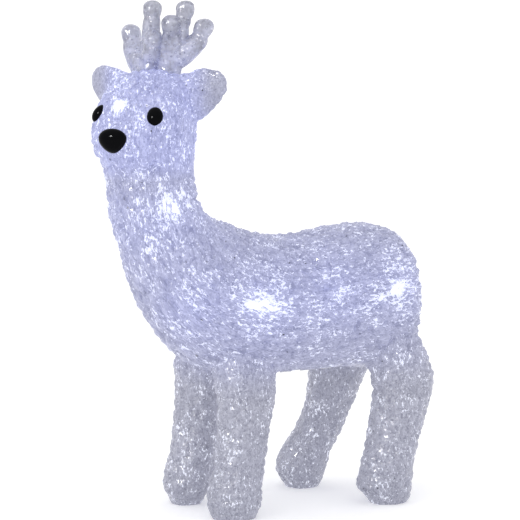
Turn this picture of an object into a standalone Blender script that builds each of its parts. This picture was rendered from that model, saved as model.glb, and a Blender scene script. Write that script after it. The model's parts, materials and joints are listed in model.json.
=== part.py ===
"""Light up yard reindeer: hollow acrylic shells, legs, ears and antlers round a belly battery box,
a timer board and a string of LEDs. All design values are in millimetres in the deer's own frame:
it faces -Y, its left side is +X, and Z is up from the soles of its feet."""
import math

import bmesh
import bpy
from mathutils import Matrix, Vector
from mathutils.bvhtree import BVHTree

MM = 0.001
GAP = 0.3                      # air left between pieces that touch
OVERLAP = 0.5                  # how far the parts of one piece run into each other
TRIM_GAP = 0.4                 # the same where a piece is trimmed to the curved body
ORIGIN_SHIFT = Vector((0.225, 21.3, 0.0))   # puts the middle of the whole deer's box on the origin

# ---- body shell -----------------------------------------------------------------------------
WALL = 4.0                     # acrylic wall
RING_POINTS = 22               # points round each ring of the shell
RUMP_POLE = (103.5, 147.0)     # y, z of the rearmost point
# top y, top z, bottom y, bottom z, half width, superellipse powers of the upper and lower halves
TORSO_RINGS = (
    (101.5, 166.0, 103.0, 128.0, 16.0, 2.2, 2.2),
    (97.5, 180.0, 100.5, 111.0, 28.0, 2.2, 2.3),
    (88.0, 189.0, 94.0, 100.0, 37.0, 2.2, 2.5),
    (73.0, 194.0, 81.0, 95.0, 43.0, 2.2, 2.7),
    (56.0, 194.5, 62.0, 94.0, 45.5, 2.2, 3.0),
    (36.0, 192.5, 40.0, 94.0, 45.5, 2.2, 3.0),
    (14.0, 189.5, 20.0, 94.0, 45.0, 2.2, 3.0),
    (-6.0, 189.0, 0.0, 94.0, 44.5, 2.2, 3.0),
    (-26.0, 193.5, -20.0, 94.0, 44.5, 2.2, 3.0),
    (-43.0, 199.5, -38.0, 95.0, 44.5, 2.2, 2.8),
    (-58.5, 205.5, -57.0, 98.5, 44.0, 2.2, 2.5),
    (-69.0, 213.0, -74.0, 107.0, 42.0, 2.2, 2.3),
    (-73.5, 221.0, -91.0, 123.0, 39.5, 2.2, 2.2),
    (-74.5, 229.0, -104.5, 143.0, 36.5, 2.1, 2.1),
    (-73.5, 234.0, -113.5, 163.0, 33.5, 2.1, 2.1),
    (-73.5, 240.5, -120.5, 184.0, 31.0, 2.0, 2.0),
)
NECK_Y = -101.5                # upright axis that the head is turned about
HEAD_TURN = math.radians(28)   # the deer looks to its left
# the same seven values from the neck up to the snout, with y given as distance behind the neck axis
HEAD_RINGS = (
    (28.5, 248.0, -26.5, 206.0, 29.0, 2.0, 2.0),
    (29.0, 258.0, -28.5, 223.0, 29.2, 2.1, 2.0),
    (30.0, 270.0, -29.5, 235.0, 30.0, 2.2, 2.1),
    (28.0, 287.0, -31.0, 240.0, 32.0, 2.5, 2.2),
    (19.0, 301.0, -32.0, 242.0, 32.5, 2.8, 2.3),
    (4.0, 307.5, -33.5, 243.0, 32.0, 2.8, 2.3),
    (-10.0, 303.5, -35.5, 244.0, 29.5, 2.5, 2.3),
    (-20.0, 293.5, -37.0, 245.5, 25.5, 2.3, 2.2),
    (-27.0, 283.5, -39.0, 247.5, 20.5, 2.2, 2.1),
    (-33.0, 276.0, -41.0, 250.5, 16.0, 2.1, 2.0),
    (-38.5, 271.0, -43.0, 254.5, 11.5, 2.0, 2.0),
)
TURN_RAMP = (0.25, 0.5, 0.8, 1.0)   # share of the head's turn taken by the first head rings
SNOUT_POLE = (-44.5, 262.5)    # distance behind the neck axis, z

# ---- legs: z, centre x, centre y, half width, half depth, from the sole up --------------------
HOOF_HEIGHT = 5.0
LEG_WALL = 3.5
LEG_POINTS = 14
LEGS = {
    "front_left": (
        (5.3, 28.5, -52.5, 16.5, 17.2), (13.0, 28.5, -52.0, 18.5, 19.0), (24.0, 28.0, -50.5, 17.8, 18.3),
        (36.0, 28.0, -47.5, 17.0, 17.2), (60.0, 27.5, -44.5, 17.5, 18.0), (80.0, 27.0, -42.0, 19.0, 20.0),
        (98.0, 25.0, -42.0, 20.0, 22.0), (125.0, 20.0, -44.0, 14.0, 16.0),
    ),
    "front_right": (
        (5.3, -28.0, -60.0, 12.5, 13.0), (13.0, -28.0, -59.5, 17.5, 17.5), (24.0, -28.0, -57.5, 17.0, 17.0),
        (36.0, -28.0, -54.0, 16.5, 16.5), (60.0, -27.5, -50.5, 17.0, 17.2),
        (80.0, -27.0, -48.0, 18.0, 18.5), (98.0, -25.0, -48.0, 19.0, 21.0), (125.0, -20.0, -48.0, 14.0, 16.0),
    ),
    "rear_left": (
        (5.3, 38.0, 67.0, 14.0, 16.0), (12.0, 38.0, 63.0, 17.5, 20.5), (26.0, 37.5, 65.5, 18.0, 19.0),
        (42.0, 36.5, 70.5, 18.0, 18.5), (58.0, 35.0, 75.5, 18.5, 19.5), (74.0, 33.0, 80.5, 19.5, 21.0),
        (88.0, 31.0, 82.5, 20.0, 23.0), (106.0, 28.0, 78.0, 19.0, 22.5), (130.0, 22.0, 70.0, 15.0, 18.0),
    ),
    "rear_right": (
        (5.3, -38.0, 40.0, 14.0, 14.5), (13.0, -38.0, 38.5, 17.0, 19.0), (26.0, -37.5, 42.5, 17.5, 18.5),
        (42.0, -36.5, 53.5, 16.5, 17.0), (58.0, -35.0, 60.5, 17.0, 17.5), (74.0, -33.0, 64.0, 18.0, 19.5),
        (88.0, -31.0, 67.0, 19.0, 23.0), (106.0, -28.0, 70.0, 19.0, 21.0), (130.0, -22.0, 64.0, 15.0, 17.0),
    ),
}

# ---- head pieces, in the head's frame: side (deer's left), forward, z ---------------------------
EYE_SIDE = 22.0
EYE_FORWARD = 23.0
EYE_Z = 277.5
EYE_HALF_WIDTH = 5.8
EYE_HALF_HEIGHT = 6.5
EYE_DEPTH = 4.6
EYE_SINK = 1.2                 # how far the eye's middle lies below the shell's surface
NOSE_Z = 262.0
NOSE_HALF_WIDTH = 9.8
NOSE_HALF_HEIGHT = 8.2
NOSE_DEPTH = 6.5
NOSE_SINK = 1.0
NOSE_TAPER = 0.22              # how much narrower its lower half is
STEM_RADIUS = 1.4
STEM_HOLE = 1.8
STEM_PROUD = 2.5               # stem left standing behind the washer
EYE_WASHER = (4.0, 3.0)        # radius, and depth below the shell's inner face, allowing for its curve
NOSE_WASHER = (3.0, 7.0)
WASHER_THICKNESS = 0.8
# ear blade: distance along its axis from the root, half height, half thickness
EAR_PROFILE = ((0.0, 17.0, 6.0), (11.0, 17.8, 5.6), (22.0, 16.0, 5.0), (31.0, 13.2, 4.3), (38.0, 8.6, 3.3))
EAR_TIP = 42.0
EAR_CUP = 3.0                  # depth of the hollow in the ear's front
EAR_ROOT = (20.0, -7.0, 285.0)
EAR_AXIS = (0.91, -0.06, 0.46)  # outward, forward, up
ANTLER_RADIUS = 5.8
# centre lines of each antler's tines: side, forward, z
ANTLERS = {
    "left": (
        ((6.0, -12.0, 298.0), (8.0, -15.0, 316.0), (11.0, -20.0, 331.0), (12.8, -25.0, 347.7)),
        ((7.0, -14.0, 312.0), (17.0, -20.0, 320.0), (23.8, -24.0, 327.0), (26.8, -27.0, 335.5)),
        ((8.0, -14.0, 316.0), (10.5, -11.0, 327.0), (12.0, -9.0, 338.0)),
    ),
    "right": (
        ((-6.0, -11.0, 298.0), (-8.0, -14.0, 316.0), (-11.0, -18.0, 331.0), (-12.8, -22.0, 347.7)),
        ((-9.0, -14.0, 303.0), (-22.0, -20.0, 311.0), (-30.0, -24.0, 320.0), (-34.5, -27.0, 331.0)),
        ((-7.0, -14.0, 312.0), (-4.0, -11.0, 321.0), (-2.0, -8.0, 329.0)),
    ),
}

# ---- shaping of rods and blades ---------------------------------------------------------------
CAP_SHARES = (0.35, 0.75)      # where the rings of a rounded rod end lie, as shares of a quarter turn
TUBE_REFERENCE = Vector((0.35, 1.0, 0.1)).normalized()   # never in line with a rod
ANTLER_SIDES = 10
EAR_POINTS = 14

# ---- battery box under the belly ----------------------------------------------------------------
CELL_RADIUS = 5.2
CELL_LENGTH = 43.7
NUB_LENGTH = 0.8
NUB_RADIUS = 1.9
CELL_PITCH = 11.0
CELL_SLOTS = (-1, 0, 1)
SPRING_LENGTH = 3.6
PLATE_THICKNESS = 0.5
PLATE_HALF = 4.6
TAB_PROUD = 1.6                # how far a terminal tab stands above the box
# name, cell slots it spans, which end of the box, whether it carries a lead's tab
PLATES = (
    ("terminal_plate_plus", (-1,), 1, True),
    ("terminal_plate_minus", (1,), -1, True),
    ("bridge_plate_front", (-1, 0), -1, False),
    ("bridge_plate_rear", (0, 1), 1, False),
)
SPRING_WIRE = 0.35
SPRING_TURNS = 3.0
SPRING_STEPS = 10              # points in each turn
SPRING_SMALL = 1.8
SPRING_LARGE = 3.6
BOX_WALL = 1.6
BOX_CENTRE_Y = 8.3
BOX_HALF_X = CELL_PITCH + CELL_RADIUS + 0.5
BOX_HALF_Y = (CELL_LENGTH + NUB_LENGTH + SPRING_LENGTH + 2 * GAP + 2 * (PLATE_THICKNESS + GAP)) / 2
DOOR_Z = 97.0                  # underside of the door, a little inside the belly's lowest line
DOOR_THICKNESS = 2.2
GASKET_HEIGHT = 0.6
RIM_Z = DOOR_Z + DOOR_THICKNESS + GASKET_HEIGHT + 2 * GAP
BOX_INNER_HEIGHT = 2 * CELL_RADIUS + 1.4
BOX_TOP_Z = RIM_Z + BOX_INNER_HEIGHT
CELL_Z = RIM_Z + CELL_RADIUS + 0.7
FLANGE_Z = 106.0
FLANGE_THICKNESS = 1.4
FLANGE_HALF_X = 31.0
DOOR_MARGIN = 0.6              # how far the door's plate laps past the box's walls
HINGE_RADIUS = 2.2
HINGE_BORE = 1.3
PIN_RADIUS = 1.0
HINGE_X = BOX_HALF_X + BOX_WALL + DOOR_MARGIN + HINGE_RADIUS + 0.6
HINGE_Z = DOOR_Z + 1.6
KNUCKLE_LENGTH = 8.0
KNUCKLE_PLACES = (-16.0, 16.0)   # door knuckles, measured along Y from the box's centre
PIN_HALF_LENGTH = 20.4
SCREW_X = -(BOX_HALF_X + BOX_WALL + 3.4)
SCREW_RADIUS = 1.25
SCREW_HOLE = 1.8
SCREW_HEAD_RADIUS = 2.4
SCREW_HEAD_HEIGHT = 1.3
SCREW_LENGTH = 6.0
BOSS_RADIUS = 3.2
DOOR_EDGE_X = SCREW_X - 3.6
OPENING_MARGIN = 1.0           # air round the door in the shell's opening

# ---- switch bay behind the cells ------------------------------------------------------------------
BAY_HALF_X = 7.4
BAY_LENGTH = 11.0
BAY_FLOOR = 1.4
BAY_Z = DOOR_Z + 0.6
SWITCH_Y = BOX_CENTRE_Y + BOX_HALF_Y + BOX_WALL + 5.65
KNOB_TRAVEL = 2.0
KNOB_HALF = 1.4
KNOB_PROUD = 1.6

# ---- electronics ----------------------------------------------------------------------------------
POST_RADIUS = 2.4
POST_HOLE = 1.2
POST_HEIGHT = 3.0
POST_OFFSET = 15.0
BOARD_HALF = (9.0, 19.0)
BOARD_THICKNESS = 1.4
BOARD_Z = BOX_TOP_Z + BOX_WALL + POST_HEIGHT + GAP
TERMINAL_TOP = 120.6
LEAD_RADIUS = 0.6
LEAD_SPACING = 2.0
FINE_STEPS = 12                # steps of the smooth curve between two route points
WIRE_RADIUS = 0.8
WIRE_SPACING = 11.0
LED_RADIUS = 2.5
LED_LENGTH = 7.5
LED_SIDES = 10
# base point of each LED and the direction it faces, in the order of the string
LEDS = (
    ("led_rump_right", (-26.0, 70.0, 148.0), (-0.8, 0.6, 0.1)),
    ("led_rump_left", (26.0, 72.0, 153.0), (0.8, 0.6, 0.1)),
    ("led_back_left", (27.0, 22.0, 150.0), (0.95, 0.0, 0.3)),
    ("led_side_left", (30.0, -32.0, 146.0), (0.97, -0.25, 0.0)),
    ("led_chest_left", (22.0, -78.0, 150.0), (0.6, -0.8, 0.0)),
    ("led_neck_left", (11.0, -97.0, 206.0), (0.9, -0.3, 0.3)),
    ("led_forehead", (6.4, -111.0, 281.0), (0.5, -0.8, 0.25)),
    ("led_neck_right", (-11.0, -108.0, 214.0), (-0.85, -0.5, 0.0)),
    ("led_side_right", (-30.0, -32.0, 146.0), (-0.97, -0.25, 0.0)),
    ("led_back_right", (-28.0, 20.0, 150.0), (-0.95, 0.0, 0.3)),
)
# the string's own way between the LEDs, chosen to hang clear of the shells
WIRE_ROUTE = (
    (0.0, 16.0, 121.6), (-3.0, 26.0, 126.5), (-10.0, 46.0, 135.0), (-20.0, 66.0, 146.0),
    (-8.0, 80.0, 152.0), (8.0, 80.0, 153.0), (20.0, 68.0, 152.5), (24.0, 45.0, 150.5),
    (24.0, 22.0, 148.8), (26.0, -4.0, 147.0), (27.0, -31.0, 146.0), (25.0, -55.0, 147.0),
    (19.5, -74.0, 150.0), (15.0, -84.0, 165.0), (9.0, -90.0, 186.0), (7.5, -95.0, 205.0),
    (7.0, -102.0, 228.0), (7.0, -108.0, 252.0), (7.0, -114.0, 273.5), (2.0, -110.0, 284.0),
    (-3.0, -104.0, 275.0), (-5.0, -103.0, 250.0), (-7.5, -105.5, 214.0), (-9.0, -94.0, 188.0),
    (-16.0, -80.0, 165.0), (-24.0, -58.0, 150.0), (-27.0, -31.0, 146.0), (-27.0, -5.0, 148.0),
    (-25.0, 20.0, 149.0),
)

# name: colour, roughness, metallic, how much light passes through
FINISHES = {
    "clear_acrylic": ((0.78, 0.79, 0.90), 0.2, 0.0, 0.5),
    "clear_acrylic_smooth": ((0.75, 0.76, 0.82), 0.1, 0.0, 0.6),
    "black_gloss": ((0.01, 0.01, 0.01), 0.05, 0.0, 0.0),
    "grey_plastic": ((0.72, 0.73, 0.75), 0.45, 0.0, 0.0),
    "black_plastic": ((0.03, 0.03, 0.03), 0.4, 0.0, 0.0),
    "rubber_grey": ((0.25, 0.25, 0.26), 0.8, 0.0, 0.0),
    "steel": ((0.6, 0.6, 0.6), 0.3, 1.0, 0.0),
    "cell_jacket": ((0.05, 0.16, 0.32), 0.3, 0.0, 0.0),
    "board_green": ((0.03, 0.2, 0.08), 0.4, 0.0, 0.0),
    "wire_clear": ((0.7, 0.7, 0.68), 0.25, 0.0, 0.3),
    "led_lens": ((0.9, 0.93, 1.0), 0.1, 0.0, 0.7),
    "wire_red": ((0.5, 0.02, 0.02), 0.35, 0.0, 0.0),
    "wire_black": ((0.02, 0.02, 0.02), 0.35, 0.0, 0.0),
}
materials = {}


def material(name):
    """The named finish as a Principled material, made once."""
    if name not in materials:
        colour, roughness, metallic, transmission = FINISHES[name]
        made = bpy.data.materials.new(name)
        made.use_nodes = True
        shader = made.node_tree.nodes["Principled BSDF"]
        shader.inputs["Base Color"].default_value = (*colour, 1.0)
        shader.inputs["Roughness"].default_value = roughness
        shader.inputs["Metallic"].default_value = metallic
        shader.inputs["Transmission Weight"].default_value = transmission
        made.diffuse_color = (*colour, 1.0)
        materials[name] = made
    return materials[name]


def add_empty(name, place, parent=None):
    """An empty at a place in its parent's frame."""
    empty = bpy.data.objects.new(name, None)
    bpy.context.collection.objects.link(empty)
    empty.location = Vector(place) * MM
    empty.parent = parent
    return empty


def add_object(name, bm, finish, origin=(0.0, 0.0, 0.0), joint=None, sharp=40.0):
    """One named part: a bmesh in the deer's millimetres, with its origin at the given point.
    A part on a joint takes its place from the joint's empty."""
    parent, pivot = (root, Vector((0.0, 0.0, 0.0))) if joint is None else joint
    origin = Vector(origin) if joint is None else pivot
    bmesh.ops.recalc_face_normals(bm, faces=bm.faces)
    bmesh.ops.transform(bm, matrix=Matrix.Scale(MM, 4) @ Matrix.Translation(-origin), verts=bm.verts)
    mesh = bpy.data.meshes.new(name)
    bm.to_mesh(mesh)
    bm.free()
    mesh.shade_smooth()
    mesh.set_sharp_from_angle(angle=math.radians(sharp))
    made = bpy.data.objects.new(name, mesh)
    bpy.context.collection.objects.link(made)
    made.parent = parent
    made.location = (origin - pivot) * MM
    if finish:
        mesh.materials.append(material(finish))
    return made


def add_tool(name, bm, joint=None):
    """A shape that only cuts or joins other parts, left out of the model itself."""
    tool = add_object(name, bm, None, joint=joint)
    tool.hide_render = True
    tool.display_type = "WIRE"
    return tool


def combine(part, tool, operation):
    """Cut the tool from the part or join it on."""
    modifier = part.modifiers.new(tool.name, "BOOLEAN")
    modifier.object = tool
    modifier.operation = operation
    modifier.solver = "EXACT"


def box(low, high):
    """A block between two corners."""
    bm = bmesh.new()
    middle = (Vector(low) + Vector(high)) / 2
    size = Vector(high) - Vector(low)
    bmesh.ops.create_cube(bm, size=1.0, matrix=Matrix.Translation(middle) @ Matrix.Diagonal((*size, 1.0)))
    return bm


def rod(start, end, radius, sides=16, end_radius=None):
    """A round bar from start to end, tapered where an end radius is given."""
    start = Vector(start)
    end = Vector(end)
    bm = bmesh.new()
    turn = (end - start).to_track_quat("Z", "Y").to_matrix().to_4x4()
    bmesh.ops.create_cone(bm, cap_ends=True, segments=sides, radius1=radius,
                          radius2=radius if end_radius is None else end_radius,
                          depth=(end - start).length,
                          matrix=Matrix.Translation((start + end) / 2) @ turn)
    return bm


def superellipse(angle, power):
    """Up and sideways shares of a ring point, measured from the top."""
    up = math.cos(angle)
    side = math.sin(angle)
    return (math.copysign(abs(up) ** (2 / power), up), math.copysign(abs(side) ** (2 / power), side))


def bridge_rings(bm, rings, closed=True):
    """Faces between neighbouring rings of points."""
    for first, second in zip(rings, rings[1:]):
        count = len(first)
        for i in range(count if closed else count - 1):
            j = (i + 1) % count
            bm.faces.new((first[i], first[j], second[j], second[i]))


def tube(points, radii, sides):
    """A swept rod with rounded ends through the given points."""
    points = [Vector(point) for point in points]
    first_way = (points[1] - points[0]).normalized()
    last_way = (points[-1] - points[-2]).normalized()
    stations = []
    for share in CAP_SHARES:
        back = first_way * (radii[0] * math.cos(share * math.pi / 2))
        stations.append((points[0] - back, radii[0] * math.sin(share * math.pi / 2), first_way))
    for i, (point, radius) in enumerate(zip(points, radii)):
        way = points[min(i + 1, len(points) - 1)] - points[max(i - 1, 0)]
        stations.append((point, radius, way.normalized()))
    for share in reversed(CAP_SHARES):
        ahead = last_way * (radii[-1] * math.cos(share * math.pi / 2))
        stations.append((points[-1] + ahead, radii[-1] * math.sin(share * math.pi / 2), last_way))
    bm = bmesh.new()
    rings = []
    for centre, radius, way in stations:
        side = way.cross(TUBE_REFERENCE).normalized()
        up = side.cross(way)
        angles = [2 * math.pi * k / sides for k in range(sides)]
        spokes = [side * math.cos(angle) + up * math.sin(angle) for angle in angles]
        rings.append([bm.verts.new(centre + spoke * radius) for spoke in spokes])
    bridge_rings(bm, rings)
    add_pole(bm, rings[0], points[0] - first_way * radii[0])
    add_pole(bm, rings[-1], points[-1] + last_way * radii[-1])
    return bm


def add_pole(bm, ring, place, closed=True):
    """A point with a fan of triangles to a ring."""
    pole = bm.verts.new(place)
    count = len(ring)
    for k in range(count if closed else count - 1):
        bm.faces.new((ring[k], ring[(k + 1) % count], pole))
    return pole


def head_point(side, forward, z):
    """A point given in the turned head's frame, in the deer's frame."""
    turned = Matrix.Rotation(HEAD_TURN, 3, "Z") @ Vector((side, -forward, 0.0))
    return Vector((turned.x, NECK_Y + turned.y, z))


def head_direction(side, forward, up):
    """A unit direction given in the turned head's frame."""
    turned = Matrix.Rotation(HEAD_TURN, 3, "Z") @ Vector((side, -forward, up))
    return turned.normalized()


def body_rings():
    """Rings of points from the rump to the snout, each starting at its top and going round by the
    left side, with the sideways direction of each ring."""
    rows = [(row, 0.0, 0.0) for row in TORSO_RINGS]
    for i, row in enumerate(HEAD_RINGS):
        rows.append((row, HEAD_TURN * (TURN_RAMP[i] if i < len(TURN_RAMP) else 1.0), NECK_Y))
    rings = []
    sideways = []
    for (top_y, top_z, bottom_y, bottom_z, half, upper, lower), turn, axis_y in rows:
        top = Vector((0.0, top_y, top_z))
        bottom = Vector((0.0, bottom_y, bottom_z))
        spin = Matrix.Rotation(turn, 3, "Z")
        centre = (top + bottom) / 2
        up = (top - bottom) / 2
        ring = []
        for k in range(RING_POINTS):
            angle = 2 * math.pi * k / RING_POINTS
            rise, spread = superellipse(angle, upper if math.cos(angle) >= 0 else lower)
            point = spin @ (centre + up * rise + Vector((half * spread, 0.0, 0.0)))
            ring.append(point + Vector((0.0, axis_y, 0.0)))
        rings.append(ring)
        sideways.append(spin @ Vector((1.0, 0.0, 0.0)))
    return rings, sideways


def offset_body(rings, distance):
    """The rings and both poles moved along the surface's outward normals."""
    rump = Vector((0.0, *RUMP_POLE))
    snout = head_point(0.0, -SNOUT_POLE[0], SNOUT_POLE[1])
    bm = bmesh.new()
    verts = [[bm.verts.new(point) for point in ring] for ring in rings]
    bridge_rings(bm, verts)
    rump_vert = add_pole(bm, verts[0], rump)
    snout_vert = add_pole(bm, verts[-1], snout)
    bmesh.ops.recalc_face_normals(bm, faces=bm.faces)
    bm.normal_update()
    moved = [[vert.co + vert.normal * distance for vert in ring] for ring in verts]
    rump = rump_vert.co + rump_vert.normal * distance
    snout = snout_vert.co + snout_vert.normal * distance
    bm.free()
    return moved, rump, snout


def closed_body(rings, distance):
    """The whole body as one closed solid, moved outward by a distance."""
    moved, rump, snout = offset_body(rings, distance)
    bm = bmesh.new()
    verts = [[bm.verts.new(point) for point in ring] for ring in moved]
    bridge_rings(bm, verts)
    add_pole(bm, verts[0], rump)
    add_pole(bm, verts[-1], snout)
    bmesh.ops.recalc_face_normals(bm, faces=bm.faces)
    bm.normal_update()
    return bm


def half_shell(rings, sideways, sign):
    """One half of the hollow body: its outer and inner skins, joined by the rim along the seam."""
    half_count = RING_POINTS // 2
    picks = [k if sign > 0 else (RING_POINTS - k) % RING_POINTS for k in range(half_count + 1)]
    bm = bmesh.new()
    skins = []
    for depth in (0.0, -WALL):
        moved, rump, snout = offset_body(rings, depth)
        shifts = [side * sign * GAP / 2 for side in sideways]
        verts = [[bm.verts.new(ring[k] + shift) for k in picks] for ring, shift in zip(moved, shifts)]
        bridge_rings(bm, verts, closed=False)
        rump_vert = add_pole(bm, verts[0], rump + shifts[0], closed=False)
        snout_vert = add_pole(bm, verts[-1], snout + shifts[-1], closed=False)
        top_edge = [ring[0] for ring in verts]
        bottom_edge = [ring[-1] for ring in reversed(verts)]
        skins.append([rump_vert, *top_edge, snout_vert, *bottom_edge])
    bridge_rings(bm, skins)
    return bm


def leg_shell(rows):
    """A hollow leg: outer and inner skins, joined by a flat ring at each end."""
    bm = bmesh.new()
    skins = []
    for inset in (0.0, LEG_WALL):
        rings = []
        for z, x, y, half_width, half_depth in rows:
            angles = [2 * math.pi * k / LEG_POINTS for k in range(LEG_POINTS)]
            rings.append([bm.verts.new((x + (half_width - inset) * math.cos(a),
                                        y + (half_depth - inset) * math.sin(a), z)) for a in angles])
        bridge_rings(bm, rings)
        skins.append(rings)
    for end in (0, -1):
        bridge_rings(bm, (skins[0][end], skins[1][end]))
    return bm


def hoof(row):
    """The flat cap that closes the bottom of a leg."""
    _, x, y, half_width, half_depth = row
    bm = bmesh.new()
    rings = []
    for z, inset in ((0.0, 1.6), (HOOF_HEIGHT * 0.3, 0.2), (HOOF_HEIGHT, 0.0)):
        angles = [2 * math.pi * k / LEG_POINTS for k in range(LEG_POINTS)]
        rings.append([bm.verts.new((x + (half_width - inset) * math.cos(a),
                                    y + (half_depth - inset) * math.sin(a), z)) for a in angles])
    bridge_rings(bm, rings)
    bm.faces.new(rings[0])
    bm.faces.new(rings[-1])
    return bm


def ear_blade(sign):
    """A thick leaf, hollowed on its front, that runs out and up from the side of the head."""
    out, forward, up = EAR_AXIS
    axis = head_direction(sign * out, forward, up)
    front = head_direction(sign * 0.15, 1.0, -0.1)
    height = axis.cross(front).normalized() * (-sign)
    front = height.cross(axis).normalized() * (-sign)
    base = head_point(sign * EAR_ROOT[0], EAR_ROOT[1], EAR_ROOT[2])
    bm = bmesh.new()
    rings = []
    for along, half_height, half_thickness in EAR_PROFILE:
        ring = []
        for k in range(EAR_POINTS):
            angle = 2 * math.pi * k / EAR_POINTS
            rise = math.cos(angle)
            swell = math.sin(angle)
            cup = EAR_CUP * (1 - rise * rise) * (along / EAR_TIP) if swell > 0 else 0.0
            ring.append(bm.verts.new(base + axis * along + height * (half_height * rise)
                                     + front * (half_thickness * swell - cup)))
        rings.append(ring)
    bridge_rings(bm, rings)
    bm.faces.new(rings[0])
    add_pole(bm, rings[-1], base + axis * EAR_TIP)
    return bm


def ball_cap(centre, outward, half_width, half_height, depth, taper):
    """A flattened ball with its depth along the outward direction; a taper narrows its lower side."""
    side = Vector((0.0, 0.0, 1.0)).cross(outward).normalized()
    up = outward.cross(side).normalized()
    bm = bmesh.new()
    bmesh.ops.create_uvsphere(bm, u_segments=14, v_segments=8, radius=1.0)
    for vert in bm.verts:
        x, y, z = vert.co
        across = x * half_width * (1.0 + taper * y)
        vert.co = centre + side * across + up * (y * half_height) + outward * (z * depth)
    return bm


def surface_hit(tree, target, direction):
    """Where a line from outside, coming in along a direction to a target, meets the body, and the
    outward normal there."""
    place, normal, _, _ = tree.ray_cast(target + direction * 200.0, -direction)
    return place, normal


def button(name, tree, target, direction, shape, washer, shells):
    """A safety eye or nose: a domed front that sits on the shell, and a stem with a washer inside."""
    place, direction = surface_hit(tree, target, direction)
    half_width, half_height, depth, sink, taper = shape
    ball = ball_cap(place - direction * sink, direction, half_width, half_height, depth, taper)
    dome = add_object(name, ball, "black_gloss", origin=place, sharp=60.0)
    combine(dome, body_tool, "DIFFERENCE")
    washer_radius, washer_depth = washer
    back = place - direction * (WALL + washer_depth)
    stem_end = back - direction * STEM_PROUD
    stem = add_tool(f"{name}_stem", rod(place + direction * 0.8, stem_end, STEM_RADIUS, 10))
    combine(dome, stem, "UNION")
    hole = add_tool(f"{name}_hole", rod(place + direction * 3.0, stem_end - direction * 3.0, STEM_HOLE, 12))
    for shell in shells:
        combine(shell, hole, "DIFFERENCE")
    disc = rod(back, back - direction * WASHER_THICKNESS, washer_radius, 14)
    ring = add_object(f"{name}_washer", disc, "steel", origin=back)
    combine(ring, hole, "DIFFERENCE")


def make_shells(rings, sideways):
    """The two halves of the torso, neck and head, open under the belly for the battery box."""
    shells = []
    for name, sign in (("body_shell_left", 1), ("body_shell_right", -1)):
        shells.append(add_object(name, half_shell(rings, sideways, sign), "clear_acrylic"))
    low_x = DOOR_EDGE_X - OPENING_MARGIN
    high_x = HINGE_X + HINGE_RADIUS + OPENING_MARGIN
    half_y = BOX_HALF_Y + BOX_WALL + OPENING_MARGIN
    opening = add_tool("belly_opening", box((low_x, BOX_CENTRE_Y - half_y, DOOR_Z - 10.0),
                                            (high_x, BOX_CENTRE_Y + half_y, FLANGE_Z - GAP)))
    bay_y = BOX_CENTRE_Y + BOX_HALF_Y
    bay_opening = add_tool("bay_opening", box((-BAY_HALF_X - 0.6, bay_y - 0.01, DOOR_Z - 10.0),
                                              (BAY_HALF_X + 0.6, bay_y + BAY_LENGTH + BOX_WALL + 0.8,
                                               FLANGE_Z - GAP)))
    for shell in shells:
        combine(shell, opening, "DIFFERENCE")
        combine(shell, bay_opening, "DIFFERENCE")
    return shells


def make_legs():
    """Four hollow legs, trimmed where they meet the body, each closed below by its hoof."""
    for corner, rows in LEGS.items():
        leg = add_object(f"leg_{corner}", leg_shell(rows), "clear_acrylic")
        combine(leg, body_tool, "DIFFERENCE")
        add_object(f"hoof_{corner}", hoof(rows[0]), "clear_acrylic_smooth")


def make_head_pieces(tree, shells):
    """Ears, antlers, eyes and nose."""
    for side, sign in (("left", 1), ("right", -1)):
        ear = add_object(f"ear_{side}", ear_blade(sign), "clear_acrylic_smooth", sharp=60.0)
        combine(ear, body_tool, "DIFFERENCE")
        trunk, *tines = ANTLERS[side]
        antler = add_object(f"antler_{side}", antler_tine(trunk), "clear_acrylic_smooth", sharp=60.0)
        for i, tine in enumerate(tines):
            combine(antler, add_tool(f"tine_{side}_{i + 1}", antler_tine(tine)), "UNION")
        combine(antler, body_tool, "DIFFERENCE")
        target = head_point(0.0, 0.0, EYE_Z)
        direction = head_direction(sign * EYE_SIDE, EYE_FORWARD, 0.0)
        shape = (EYE_HALF_WIDTH, EYE_HALF_HEIGHT, EYE_DEPTH, EYE_SINK, 0.0)
        shell = shells[0] if sign > 0 else shells[1]
        button(f"eye_{side}", tree, target, direction, shape, EYE_WASHER, (shell,))
    direction = head_direction(0.0, 1.0, 0.0)
    shape = (NOSE_HALF_WIDTH, NOSE_HALF_HEIGHT, NOSE_DEPTH, NOSE_SINK, NOSE_TAPER)
    button("nose", tree, head_point(0.0, 0.0, NOSE_Z), direction, shape, NOSE_WASHER, shells)


def antler_tine(points):
    """One rounded acrylic rod of an antler."""
    return tube([head_point(*point) for point in points], [ANTLER_RADIUS] * len(points), ANTLER_SIDES)


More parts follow.
